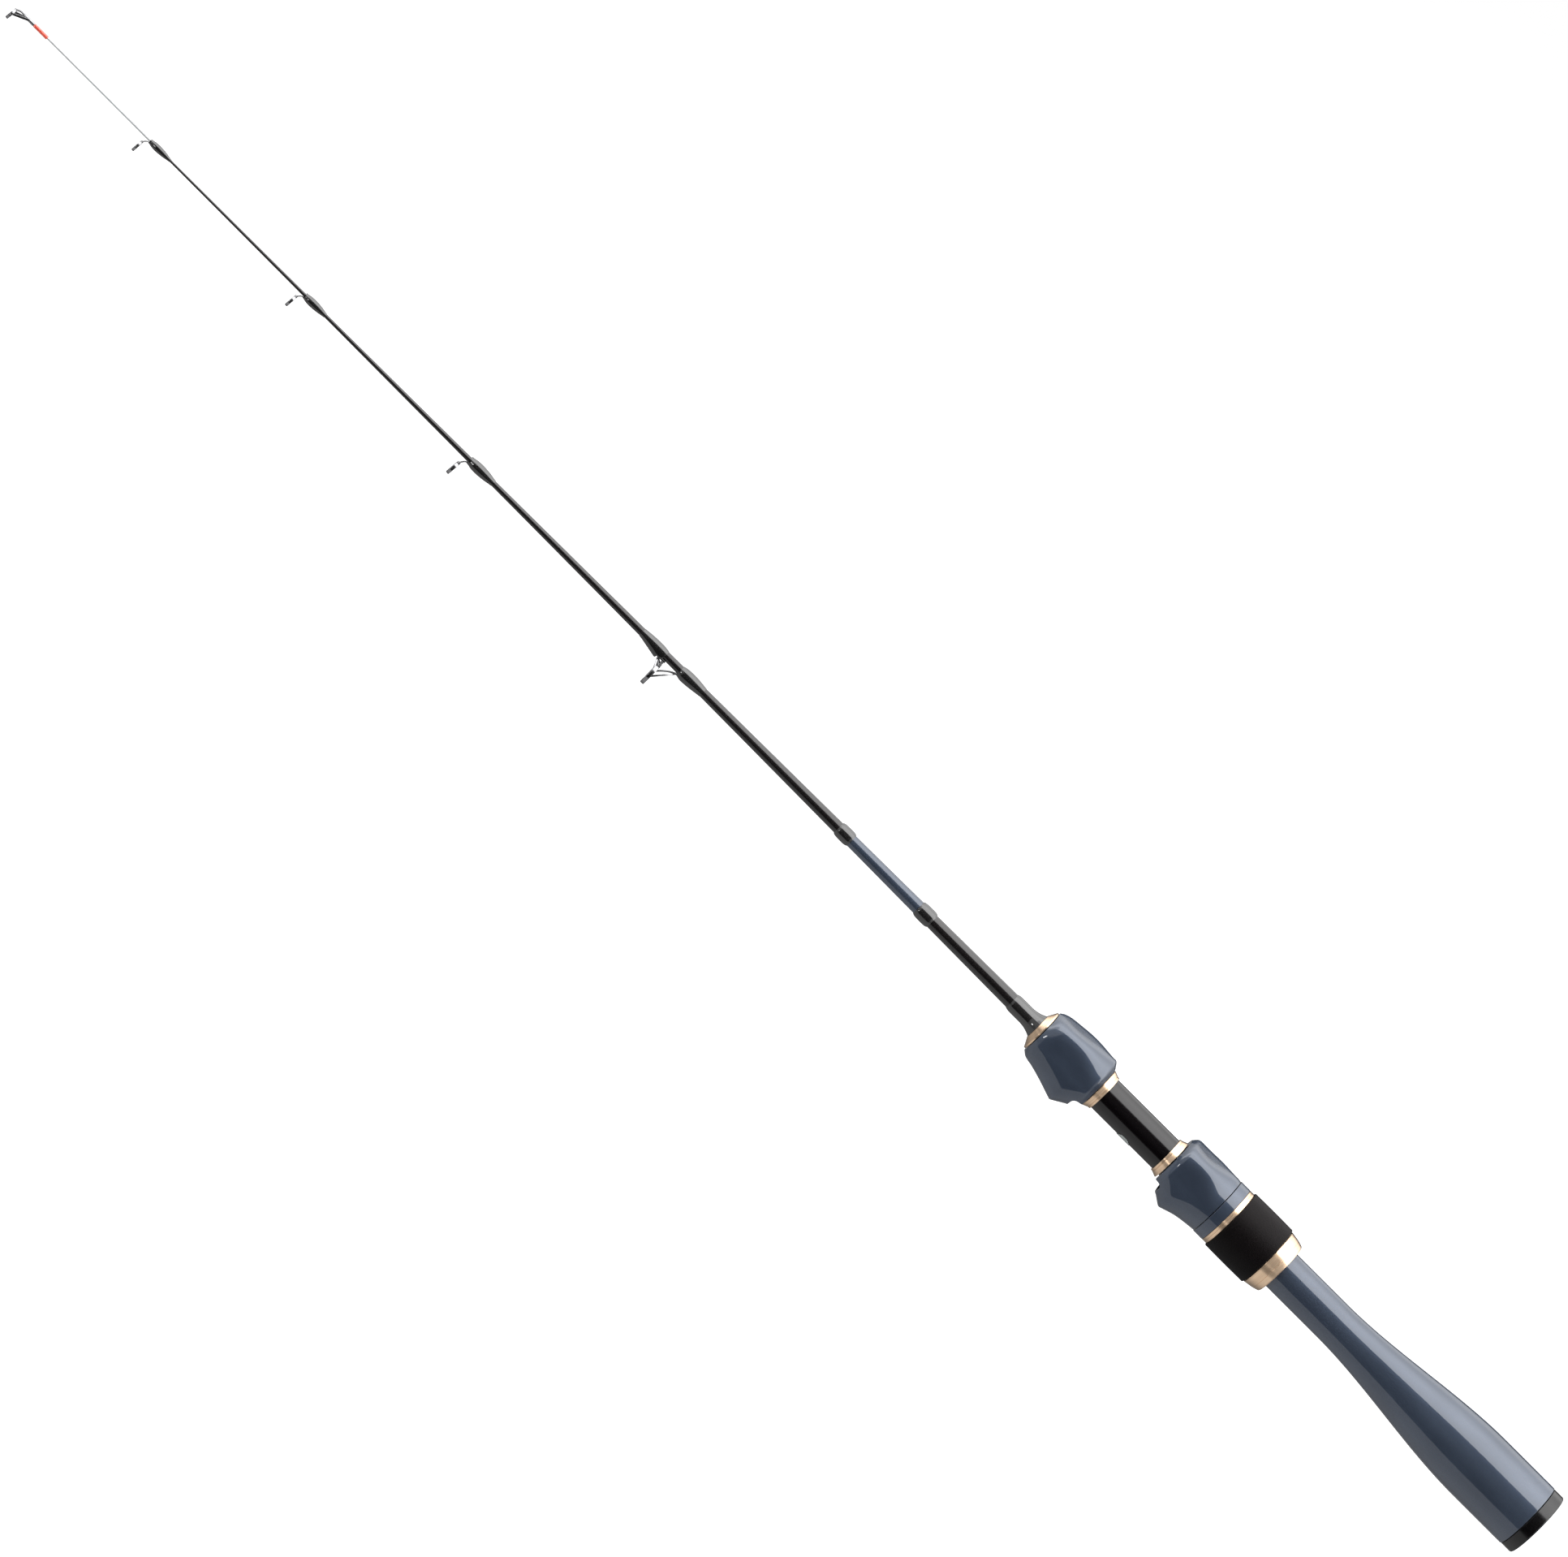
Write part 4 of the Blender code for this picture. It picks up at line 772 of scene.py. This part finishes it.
def flare_binding():
    front, rear = x_flare_front, x_flare_rear
    thin = flare_thin_radius
    thick = reach("flare_binding")
    curve = curve_through(offset(front, thin, (0.0, -0.35), (1.0, -0.1), (2.4, 0.0))
                          + [(rear - flare_run, thin)])
    spin("flare_winding", "flare_binding", [
        *((x, curve(x)) for x in between(front, rear - flare_run, 24)),
        *((rear - flare_run * (1 - share), thin + (thick - thin) * share ** 2.2)
          for share in between(0.0, 1.0, 24)[1:]),
        *((x, blank_radius(x) + fine_gap) for x in (rear, front))])


# Hoods

def swollen_section(x, body_radius, drop, sides, squareness, flatness=0.0):
    """A body whose lower half swells down to a depth, round or with flattened flanks."""
    side_radius = body_radius / (1.0 + flank_squeeze * flatness)
    low_power = 2.0 + squareness * max(drop / side_radius - 1.0, 0.0)
    top_power = 2.0 + flank_flatness * flatness
    points = []
    for side in range(sides):
        angle = 2 * pi * side / sides
        across, down = sin(angle), cos(angle)
        power, depth = (low_power, drop) if down > 0.0 else (top_power, side_radius)
        out = (abs(across / side_radius) ** power + abs(down / depth) ** power) ** (-1 / power)
        points.append((x, out * across, -out * down))
    return points


def hollow_hood(name, stations, curves, pocket_span, lip_end, past_face):
    """A hood's body with its bore, its pocket for the reel's foot and its open mouth."""
    body_curve, drop_curve, flank_curve = curves
    sections = [swollen_section(x, body_curve(x), drop_curve(x), handle_sides, 3.0,
                                flank_curve(x))
                for x in stations]
    hood = loft(name, sections)
    bore = reach("seat_barrel") + glue_gap
    ends = (stations[0] - glue_gap, stations[-1] + glue_gap)
    bored = lathe(name + "_bore", [(ends[0], 0.0), (ends[0], bore), (ends[1], bore),
                                   (ends[1], 0.0)])
    flat = pocket_half_width - pocket_corner
    low = pocket_roof - pocket_corner
    corner = [(flat + pocket_corner * cos(a), low + pocket_corner * sin(a))
              for a in between(0.0, pi / 2, 12)]
    arch = [(pocket_half_width, 0.0)] + corner
    arch += [(-y, depth) for y, depth in reversed(corner)] + [(-pocket_half_width, 0.0)]
    room = loft(name + "_pocket", [[(x, y, -depth) for y, depth in arch] for x in pocket_span])
    wide = 2 * front_lip_radius
    toward = 1 if past_face > lip_end else -1
    opening = [(lip_end, -wide)]
    for angle in between(0.0, pi / 2, 12):
        opening.append((lip_end + toward * flank_round * (1 - cos(angle)),
                        -flank_cut - flank_round * (1 - sin(angle))))
    opening += [(past_face, -flank_cut), (past_face, -wide)]
    return combine(hood, [bored, room, prism(name + "_mouth", opening, wide)], "DIFFERENCE")


def front_hood():
    front, rear = x_front_hood_front, x_front_hood_rear
    joint = rear + glue_gap
    peak = joint - front_lip_peak
    lip_end = joint - front_lip_setback
    nose, radius = front_hood_nose_radius, front_hood_radius
    body_curve = curve_through(
        offset(front, nose, (0.0, 0.0), (2.0, 0.95), (6.0, 1.85)) + [
            (front + 15.6 * mm, radius), (rear - 2 * hood_shoulder, radius - 0.4 * mm),
            (rear - hood_shoulder, radius - 0.6 * mm), (rear, hood_mouth_radius)])
    drop_curve = curve_through(
        offset(front, nose, (0.0, 0.0), (2.0, 1.4), (6.5, 2.35), (12.0, 3.8))
        + offset(peak, front_lip_radius, (-0.5, -0.1), (0.0, 0.0), (0.5, -0.2))
        + [(lip_end, lip_end_radius), (rear, hood_mouth_radius + 1.8 * mm)])
    flank_curve = curve_through([
        (front, 0.0), (front + 3.0 * mm, 0.5), (front + 9.0 * mm, 1.0),
        (front + 14.0 * mm, 0.85), (peak, 0.35), (lip_end, 0.0), (rear, 0.0)])
    shoulder = rear - hood_shoulder
    stations = between(front, shoulder, 58) + between(shoulder, rear, 4)[1:]
    past = rear + 1.0 * mm
    hood = hollow_hood("front_hood_shell", stations, (body_curve, drop_curve, flank_curve),
                       (lip_end - pocket_depth, past), lip_end, past)
    dress(hood, "front_hood")


def moving_hood():
    front, rear = x_hood_front, x_hood_rear
    joint = front - glue_gap
    peak = joint + moving_lip_peak
    lip_end = joint + moving_lip_setback
    radius = moving_hood_radius
    body_curve = curve_through([
        (front, hood_mouth_radius + 1.6 * mm), (front + hood_shoulder, radius - 0.35 * mm),
        (front + 2.2 * hood_shoulder, radius),
        *offset(rear, radius, (-1.5, 0.05), (0.0, -0.15))])
    drop_curve = curve_through([
        (front, lip_end_radius - 1.0 * mm), (lip_end, lip_end_radius),
        *offset(peak, moving_lip_radius, (-0.5, -0.15), (0.0, 0.0), (0.5, -0.08)),
        (peak + 6.5 * mm, radius + 0.9 * mm),
        *offset(rear, radius, (-2.5, 0.08), (0.0, -0.15))])
    flank_curve = curve_through([
        (front, 0.2), (lip_end, 0.7), (peak, 1.0), (peak + 4.0 * mm, 0.75),
        (peak + 8.0 * mm, 0.3), (peak + 12.0 * mm, 0.0), (rear, 0.0)])
    shoulder = front + hood_shoulder
    stations = between(front, shoulder, 4) + between(shoulder, rear, 48)[1:]
    past = front - 1.0 * mm
    hood = hollow_hood("moving_hood_shell", stations, (body_curve, drop_curve, flank_curve),
                       (past, lip_end + pocket_depth), lip_end, past)
    key_rear = rear - 2.0 * mm
    barrel = reach("seat_barrel")
    bar = box("hood_key", (key_rear - key_length, -key_width / 2, barrel - key_height),
              (key_rear, key_width / 2, barrel + 1.5 * mm))
    dress(combine(hood, [bar], "UNION"), "moving_hood")


# Lock nut

def nut_pieces():
    front, rear = span("nut_ring")
    radius = reach("nut_ring")
    spin("nut_ring_turning", "nut_ring", [
        (front, nut_bore_radius), (front, radius, fine_round), (rear, radius, 0.12 * mm),
        (rear, nut_bore_radius)])
    front, rear = span("nut_trim_ring")
    radius = reach("nut_trim_ring")
    middle, groove = (front + rear) / 2, 0.14 * mm
    spin("nut_trim_turning", "nut_trim_ring", [
        (front, nut_bore_radius), (front, radius, 0.16 * mm),
        (middle - groove, radius, 0.04 * mm), (middle, radius - 0.12 * mm),
        (middle + groove, radius, 0.04 * mm), (rear, radius, 0.16 * mm),
        (rear, nut_bore_radius)])
    front, rear = span("nut_sleeve")
    radius = reach("nut_sleeve")
    spin("nut_sleeve_foam", "nut_sleeve", [
        (front, nut_bore_radius), (front, radius - 0.05 * mm, 0.55 * mm),
        *((front + (rear - front) * t, radius - 0.1 * mm * (2 * t - 1) ** 2)
          for t in between(0.06, 0.94, 22)),
        (rear, radius - 0.05 * mm, 0.6 * mm), (rear, nut_bore_radius)])


# Blank, tip and bindings

def blank_radius(x):
    """Outer radius of the blank, which tapers more slowly near its tip."""
    if x >= x_flare_front:
        return blank_seat_radius + blank_handle_taper * (x - x_flare_front)
    share = max(x - x_splice, 0.0) / (x_flare_front - x_splice)
    return blank_tip_radius + (blank_seat_radius - blank_tip_radius) * share ** blank_curve


def blank():
    """The tapering tube, painted between the two dark bindings."""
    band = (span("front_binding")[1], span("rear_binding")[0])
    stations = between(x_splice, band[0], 60) + between(band[0], band[1], 12)[1:]
    stations += between(band[1], x_flare_front, 12)[1:]
    outline = [(x, blank_radius(x)) for x in stations]
    outline += [(x_blank_butt, blank_radius(x_blank_butt))]
    hollow = 1.0 - blank_wall_share
    bored_from = x_splice + splice_length + fine_gap
    inner = [x_blank_butt, x_flare_front] + between(x_flare_front, bored_from, 12)[1:-4]
    outline += [(x, blank_radius(x) * hollow) for x in inner]
    outline += [(x, splice_radius + fine_gap) for x in (bored_from, x_splice)]
    made = dress(lathe("blank_tube", outline, rod_sides), "blank")
    made.data.materials.append(paints["slate_gloss"])
    for face in made.data.polygons:
        outside = sqrt(face.center.y ** 2 + face.center.z ** 2) > 0.9 * blank_radius(face.center.x)
        if outside and band[0] < face.center.x < band[1]:
            face.material_index = 1


def tip_radius(x):
    front = span("solid_tip")[0]
    share = (x - front) / (x_splice - front)
    return tip_thin_radius + (tip_thick_radius - tip_thin_radius) * share


def solid_tip():
    front, rear = span("solid_tip")
    shoulder = x_splice - fine_gap
    spin("solid_tip_rod", "solid_tip", [
        (front, 0.0), *((x, tip_radius(x)) for x in between(front, shoulder, 24)),
        (shoulder, splice_radius), (rear, splice_radius), (rear, 0.0)], sides=40)


def tip_marker():
    front, rear = span("tip_marker")
    radius = reach("tip_marker")
    spin("tip_marker_band", "tip_marker", [
        (front, radius, fine_round), (rear, radius, 0.4 * mm),
        *((x, tip_radius(x) + fine_gap) for x in (rear, front))], sides=48)


def binding(node):
    """A short band of thread under resin that runs out smoothly at both ends."""
    front, rear = span(node)
    shape = curve_through([(0.0, 0.12), (0.1, 0.72), (0.28, 1.0), (0.72, 1.0), (0.9, 0.72),
                           (1.0, 0.12)])
    stations = [(share, front + (rear - front) * share) for share in between(0.0, 1.0, 32)]
    spin(node + "_winding", node, [
        *((x, blank_radius(x) + fine_gap + binding_rise * shape(share))
          for share, x in stations),
        *((x, blank_radius(x) + fine_gap) for x in (rear, front))], sides=rod_sides)


def foot_binding(node, thick_end, thin_end, rise, sag, end_share):
    """The binding over a guide's foot: full at its ring end, thin at the other."""
    height_at = curve_through([(share, max(height, end_share) if belly > 0.5 else height)
                               for share, height, belly in foot_binding_shape])
    belly_at = curve_through([(share, belly) for share, height, belly in foot_binding_shape])
    outer, inner = [], []
    for share in between(0.0, 1.0, 40):
        x = thick_end + (thin_end - thick_end) * share
        bore = blank_radius(x) + fine_gap
        radius = bore + rise * height_at(share)
        outer.append(swollen_section(x, radius, radius + sag * belly_at(share), rod_sides, 1.5))
        inner.append(swollen_section(x, bore, bore, rod_sides, 0.0))
    return loft(node + "_winding", outer + inner[::-1], hollow=True)


# Guides

def ring_profile(outer, wall, width):
    """Cross-section of a ring with rounded edges, as a closed (x, r) outline."""
    edge = min(wall, width) * 0.38
    inner = outer - wall
    half = width / 2
    return rounded([(half, outer, edge), (-half, outer, edge), (-half, inner, edge),
                    (half, inner, edge)])


def set_ring(made, x, drop, lean):
    """Move a ring made about the origin to its place, leaning to the tip."""
    turn = Matrix.Rotation(radians(lean), 4, "Y")
    made.data.transform(Matrix.Translation((x, 0.0, -drop)) @ turn)
    return made


def guide_ring(node, x, outer, band, drop, lean):
    """The smooth ring that the line runs through, rounder than its frame."""
    radius = outer - ring_wall - fine_gap
    half = band * 0.4
    profile = [(half * cos(a), radius - insert_wall / 2 + insert_wall / 2 * sin(a))
               for a in between(0.0, 2 * pi, 20)[:-1]]
    dress(set_ring(lathe(node + "_insert", profile, ring_sides), x, drop, lean), node)


def framed_ring(node, frame_name, outer, band, drop, lean):
    """A guide's smooth ring, the bare metal band round it, and its place along the rod."""
    low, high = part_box(node + "_ring")
    x = (low.x + high.x) / 2
    made = lathe(frame_name, ring_profile(outer, ring_wall, band), ring_sides)
    guide_ring(node + "_ring", x, outer, band, drop, lean)
    return x, set_ring(made, x, drop, lean)


def ribbon(name, path, half_widths, gauge, steps=24):
    """A bent strip with rounded edges through (x, z) points, with a width at each."""
    lengths = [0.0]
    for low, high in zip(path, path[1:]):
        lengths.append(lengths[-1] + (Vector(high) - Vector(low)).length)
    x_at, z_at = (curve_through([(at, point[axis]) for at, point in zip(lengths, path)])
                  for axis in (0, 1))
    width_at = curve_through(list(zip(lengths, half_widths)))
    small = lengths[-1] * 1e-3
    half = gauge / 2
    sections = []
    for at in between(0.0, lengths[-1], steps):
        low = max(at - small, 0.0)
        high = min(at + small, lengths[-1])
        normal = Vector((z_at(low) - z_at(high), x_at(high) - x_at(low))).normalized()
        width = width_at(at)
        edge = min(half, width) * 0.7
        corners = rounded([(width, half, edge), (-width, half, edge), (-width, -half, edge),
                           (width, -half, edge)], 3)
        sections.append([(x_at(at) + normal.x * up, across, z_at(at) + normal.y * up)
                         for across, up in corners])
    return loft(name, sections)


def strut(name, start, end, bow, width, gauge, steps):
    """A flat strut with rounded edges between two points, bowed out at its middle."""
    start, end, bow = Vector(start), Vector(end), Vector(bow)
    side = Vector((0, 1, 0))
    across = side.cross((end - start).normalized()).normalized()
    edge = min(width, gauge) * 0.35
    half, thin = width / 2, gauge / 2
    corners = rounded([(half, thin, edge), (half, -thin, edge), (-half, -thin, edge),
                       (-half, thin, edge)], 3)
    sections = []
    for share in between(0.0, 1.0, steps):
        centre = start.lerp(end, share) + bow * (4 * share * (1 - share))
        sections.append([centre + across * wide + side * thick for wide, thick in corners])
    return loft(name, sections)


def foot_top(thick_end):
    """How far under the axis a foot's upper face lies."""
    return blank_radius(thick_end) + 2 * fine_gap


def single_foot_guide(name, outer, drop, lean, band, rise, foot, gauge):
    x, frame_ring = framed_ring(name, name + "_stamping", outer, band, drop, lean)
    front, rear = span(name + "_wrap")
    foot_end = front + (rear - front) * foot_share
    level = -foot_top(foot_end) - gauge / 2
    depth = outer - ring_wall / 2
    top_x = x + depth * sin(radians(lean))
    top_z = -drop + depth * cos(radians(lean))
    bend = front - gauge
    path = [(top_x, top_z), (top_x + (bend - top_x) * 0.45, top_z + (level - top_z) * 0.6),
            (bend, level), (front + 0.8 * mm, level), (foot_end, level)]
    neck = ribbon(name + "_neck", path, [outer * 0.46, outer * 0.31, foot, foot, foot * 0.6],
                  gauge)
    dress(combine(frame_ring, [neck], "UNION"), name + "_frame")
    dress(foot_binding(name + "_wrap", front, rear, rise, guide_sag, 0.5), name + "_wrap")


def stripper_guide():
    """The two-footed guide nearest the reel."""
    ring, frame_ring = framed_ring("guide_4", "guide_4_stamping", stripper_ring,
                                   stripper_band, stripper_drop, 0.0)
    front_end, front_rear = span("guide_4_front_wrap")
    rear_front, rear_end = span("guide_4_rear_wrap")
    half_ring = stripper_ring - ring_wall / 2
    ring_top = -stripper_drop + half_ring
    foot, gauge = stripper_foot, stripper_strip
    level = -foot_top(front_rear) - gauge / 2
    toe = front_rear - stripper_step
    foot_end = front_rear - (front_rear - front_end) * foot_share
    root = toe + stripper_root
    heel = rear_front + (rear_end - rear_front) * foot_share
    rear_level = -foot_top(heel) - gauge / 2
    low = rear_level - 0.25 * mm
    strips = {
        "front_foot": ([(foot_end, level), (toe, level), (ring + stripper_band / 2, level)],
                       [foot * 0.6, foot, foot * 1.3], gauge),
        "gusset": ([(root, level - 0.1 * mm), (ring - 0.3 * mm, ring_top)],
                   [foot * 1.1, stripper_plate], gauge),
        "bridge": ([(ring, ring_top), (ring, level)], [stripper_plate, foot * 1.2],
                   stripper_band * 0.7),
        "rear_foot": ([(rear_front - 0.9 * mm, low), (rear_front, rear_level),
                       (heel, rear_level)], [1.1 * mm, foot, foot * 0.6], gauge),
    }
    parts = [ribbon("guide_4_" + name, *shape, 12) for name, shape in strips.items()]
    for side, suffix in ((-1, "near"), (1, "far")):
        legs = {
            "rear_leg_": ((ring + 0.2 * mm, side * half_ring, -stripper_drop),
                          (rear_front - 0.6 * mm, side * 0.55 * mm, low),
                          (0.0, side * stripper_leg_bow, 0.3 * mm), 20),
            "front_leg_": ((ring - 0.4 * mm, side * half_ring * 0.84,
                            -stripper_drop + half_ring * 0.55),
                           (root + 0.3 * mm, side * foot * 0.8, level - 0.3 * mm),
                           (0.0, side * 0.3 * mm, 0.0), 8),
        }
        parts += [strut("guide_4_" + name + suffix, start, end, bow, stripper_leg_width,
                        stripper_leg_gauge, steps)
                  for name, (start, end, bow, steps) in legs.items()]
    dress(combine(frame_ring, parts, "UNION"), "guide_4_frame")
    front = foot_binding("guide_4_front_wrap", front_rear, front_end, 0.5 * mm,
                         stripper_front_sag, stripper_end_share)
    top = fine_gap - foot_top(front_rear)
    depth = -2 * stripper_drop
    past = front_rear + 1.0 * mm
    clear = [(toe, depth), (toe, top - stripper_front_sag), (toe + stripper_slope, top),
             (past, top), (past, depth)]
    combine(front, [prism("guide_4_step", clear, stripper_drop)], "DIFFERENCE")
    dress(front, "guide_4_front_wrap")
    dress(foot_binding("guide_4_rear_wrap", rear_front, rear_end, 0.6 * mm,
                       stripper_rear_sag, stripper_end_share), "guide_4_rear_wrap")


def tip_top():
    """Tube, ring and side legs of the guide at the rod's end."""
    tube_front = span("solid_tip")[0] - fine_gap
    tube_rear = span("tip_marker")[0] - fine_gap
    nose = tube_front - tip_nose
    bore = tip_radius(tube_rear) + fine_gap
    tube = lathe("tip_top_stamping", rounded([
        (tube_front, 0.0), (tube_front, bore), (tube_rear, bore),
        (tube_rear, tip_tube_radius, 0.1 * mm), (nose, tip_tube_radius, 0.35 * mm),
        (nose, 0.0)]), 48)
    ring, band = framed_ring("tip_top", "tip_top_band", tip_ring, tip_ring_band,
                             tip_ring_drop, tip_ring_lean)
    lean = radians(tip_ring_lean)
    half_ring = tip_ring - ring_wall / 2
    top = (ring + half_ring * sin(lean), -tip_ring_drop + half_ring * cos(lean))
    path = [(tube_front - 0.1 * mm, 0.1 * mm), (nose, 0.1 * mm),
            (nose - (nose - top[0]) * 0.55, 0.0), top]
    parts = [band, ribbon("tip_top_bar", path, [0.35 * mm, 0.45 * mm, 0.55 * mm, 0.9 * mm],
                          tip_bar_gauge, 16)]
    for side, suffix in ((-1, "near"), (1, "far")):
        start = (tube_front + tip_leg_start, side * tip_tube_radius * 0.94, 0.05 * mm)
        end = (ring + 0.2 * mm, side * half_ring, -tip_ring_drop + 0.6 * mm)
        parts.append(strut("tip_top_leg_" + suffix, start, end, (0.0, 0.0, 0.0),
                           tip_leg_width, tip_leg_gauge, 10))
    dress(combine(tube, parts, "UNION"), "tip_top_frame")


# Studio

def stand(name, data, axes, place):
    """A camera or a lamp, given the world directions of its own three axes."""
    made = bpy.data.objects.new(name, data)
    bpy.context.scene.collection.objects.link(made)
    turned = Matrix(axes).transposed().to_4x4()
    turned.translation = place
    made.matrix_world = turned
    return made


def camera():
    """The photograph's camera: far off, a little above the rod and rolled to one side."""
    turn = Matrix.Rotation(radians(-view_elevation), 3, "X")
    turn = turn @ Matrix.Rotation(radians(-view_yaw), 3, "Z")
    roll = radians(view_roll)
    right = turn @ Vector((cos(roll), 0.0, sin(roll)))
    up = turn @ Vector((-sin(roll), 0.0, cos(roll)))
    back = turn @ Vector((0.0, -1.0, 0.0))
    centre = Vector((view_centre_x, 0.0, 0.0)) - turn @ Vector((0.0, 0.0, view_centre_drop))
    data = bpy.data.cameras.new("camera")
    data.sensor_fit = "HORIZONTAL"
    data.sensor_width = sensor
    data.lens = sensor * focal_pixels / frame_width
    data.clip_start = view_nearest
    data.clip_end = view_farthest
    place = centre + back * focal_pixels * metres_per_pixel
    bpy.context.scene.camera = stand("camera", data, (right, up, back), place)


def lamp(name, shape, out, across, place, area, radiance):
    """A lamp of a given radiance that faces against a direction."""
    data = bpy.data.lights.new(name, "AREA")
    data.shape = shape
    data.energy = radiance * pi * area
    made = stand(name, data, (across, out.cross(across), out), place)
    made.visible_camera = False
    return made


def key_lamp():
    """A long lamp over the rod, which lights what is matt."""
    middle = radians((key_light_low + key_light_high) / 2)
    out = Vector((0.0, -cos(middle), sin(middle)))
    width = 2 * key_light_distance * tan(radians((key_light_high - key_light_low) / 2))
    place = Vector((view_centre_x, 0.0, 0.0)) + out * key_light_distance
    made = lamp("key", "RECTANGLE", out, Vector((1.0, 0.0, 0.0)), place,
                key_light_length * width, key_light)
    made.data.size = key_light_length
    made.data.size_y = width
    made.visible_glossy = False


def spark():
    """A small round lamp on the tip's side, for the bright points on the shoulders."""
    out = Vector(spark_direction).normalized()
    across = Vector((0.0, 0.0, 1.0)).cross(out).normalized()
    place = Vector((x_front_hood_front, 0.0, 0.0)) + out * spark_distance
    made = lamp("spark", "DISK", out, across, place, pi * spark_radius ** 2, spark_radiance)
    made.data.size = 2 * spark_radius


def cleared(owner):
    """The empty node tree of a world or a material."""
    owner.use_nodes = True
    owner.node_tree.nodes.clear()
    return Graph(owner.node_tree)


def studio_world():
    """White to the camera. To gloss it is a bright room: a long softbox above, a dark
    opening where the camera stands and a dark backdrop straight behind the rod."""
    world = bpy.data.worlds.new("studio")
    bpy.context.scene.world = world
    world.cycles.sampling_method = "NONE"
    graph = cleared(world)
    path = graph.node("ShaderNodeLightPath")
    direction = graph.node("ShaderNodeTexCoord")["Generated"]
    x, y, z = graph.node("ShaderNodeSeparateXYZ", (direction,))
    elevation = graph.maths("ARCTAN2", z, graph.maths("MULTIPLY", y, -1.0))

    def rise(degrees, soft, first=0.0, last=1.0):
        return graph.fade(elevation, radians(degrees - soft), radians(degrees + soft), first, last)

    def within(start, finish):
        return graph.maths("MULTIPLY", graph.fade(x, start - side_soft, start + side_soft),
                           graph.fade(x, finish + side_soft, finish - side_soft))

    over = graph.maths("MULTIPLY", rise(*box_dims, box_light, box_dimmed * box_light),
                       rise(*box_stops, 1.0, box_left))
    beside = graph.maths("MINIMUM", rise(*side_box_rises, side_box_light, box_light), over)
    over = graph.choose(within(box_start, box_end), beside, over)
    above = graph.choose(rise(*box_rises), low_light, over)
    facing = graph.choose(within(opening_start, opening_end),
                          rise(*side_rises, side_light, high_side_light),
                          rise(*opening_rises, opening_low_light, opening_light))
    front = graph.maths("MULTIPLY", rise(opening_low, opening_soft),
                        rise(opening_high, opening_soft, 1.0, 0.0))
    glossy = graph.choose(front, above, facing)
    forward = Matrix.Rotation(radians(-view_elevation), 3, "X") @ Vector((0.0, 1.0, 0.0))
    ahead = graph.node("ShaderNodeVectorMath", (direction, tuple(forward)),
                       operation="DOT_PRODUCT")["Value"]
    behind = graph.fade(ahead, cos(radians(backdrop + backdrop_soft)),
                        cos(radians(backdrop - backdrop_soft)))
    glossy = graph.choose(behind, glossy, backdrop_light)
    seen = graph.maths("MAXIMUM", path["Is Camera Ray"], path["Is Transmission Ray"])
    strength = graph.choose(path["Is Glossy Ray"], ambient, glossy)
    strength = graph.choose(seen, strength, 1.0)
    shade = graph.node("ShaderNodeBackground", (white, strength))
    graph.node("ShaderNodeOutputWorld", (shade[0],))


def studio_floor():
    """A wide pale floor under the rod, which ends a little ahead of it and is clear
    to a camera that looks up from underneath."""
    builder = bmesh.new()
    corners = ((-floor_reach, floor_near), (floor_reach, floor_near),
               (floor_reach, floor_far), (-floor_reach, floor_far))
    builder.faces.new([builder.verts.new((x, y, floor_level)) for x, y in corners])
    made = solid("studio_floor", builder)
    if made.data.polygons[0].normal.z < 0.0:
        made.data.flip_normals()
    paint = bpy.data.materials.new("pale_floor")
    graph = cleared(paint)
    path = graph.node("ShaderNodeLightPath")
    place = graph.node("ShaderNodeTexCoord")["Object"]
    x, y, z = graph.node("ShaderNodeSeparateXYZ", (place,))
    to_camera, to_gloss = path["Is Camera Ray"], path["Is Glossy Ray"]
    tone = graph.choose(to_gloss, floor_tone, 0.0)
    colour = graph.node("ShaderNodeCombineColor", (tone, tone, tone))[0]
    diffuse = graph.node("ShaderNodeBsdfDiffuse", (colour,))[0]
    # Painted shadow: to gloss the floor glows at the floor's light ahead of the rod and fades
    # darker behind it, down to a share of that light, standing in for the rod's shadow and the
    # darker ground under it.
    gloss_glow_with_painted_shadow = graph.fade(y, *painted_shadow_fades, low_light, painted_shadow_share * low_light)
    lift = graph.maths("ADD", graph.maths("MULTIPLY", to_camera, floor_lift),
                       graph.maths("MULTIPLY", to_gloss, gloss_glow_with_painted_shadow))
    glow = graph.node("ShaderNodeEmission", (white, lift))[0]
    pale = graph.node("ShaderNodeAddShader", (diffuse, glow))[0]
    underneath = graph.node("ShaderNodeNewGeometry")["Backfacing"]
    underneath = graph.maths("MULTIPLY", underneath, to_camera)
    clear = graph.node("ShaderNodeBsdfTransparent")[0]
    shade = graph.node("ShaderNodeMixShader", (underneath, pale, clear))[0]
    graph.node("ShaderNodeOutputMaterial", (shade,))
    made.data.materials.append(paint)


camera()
studio_world()
studio_floor()
key_lamp()
spark()

butt_cap()
rear_grip()
end_ring()
seat_barrel()
cone_ring("rear_cone_ring", span("rear_cone_ring")[1], span("rear_cone_ring")[0])
cone_ring("front_cone_ring", *span("front_cone_ring"))
front_check()
flare_binding()
front_hood()
moving_hood()
nut_pieces()
blank()
solid_tip()
tip_marker()
binding("rear_binding")
binding("front_binding")
for name, sizes in guides.items():
    single_foot_guide(name, *sizes)
stripper_guide()
tip_top()
for node, made in frame["nodes"].items():
    if not made.hide_render:
        made.data.materials.clear()
        made.data.materials.append(paints[slot_of[node]])

scene = bpy.context.scene
scene.view_settings.view_transform = "Standard"
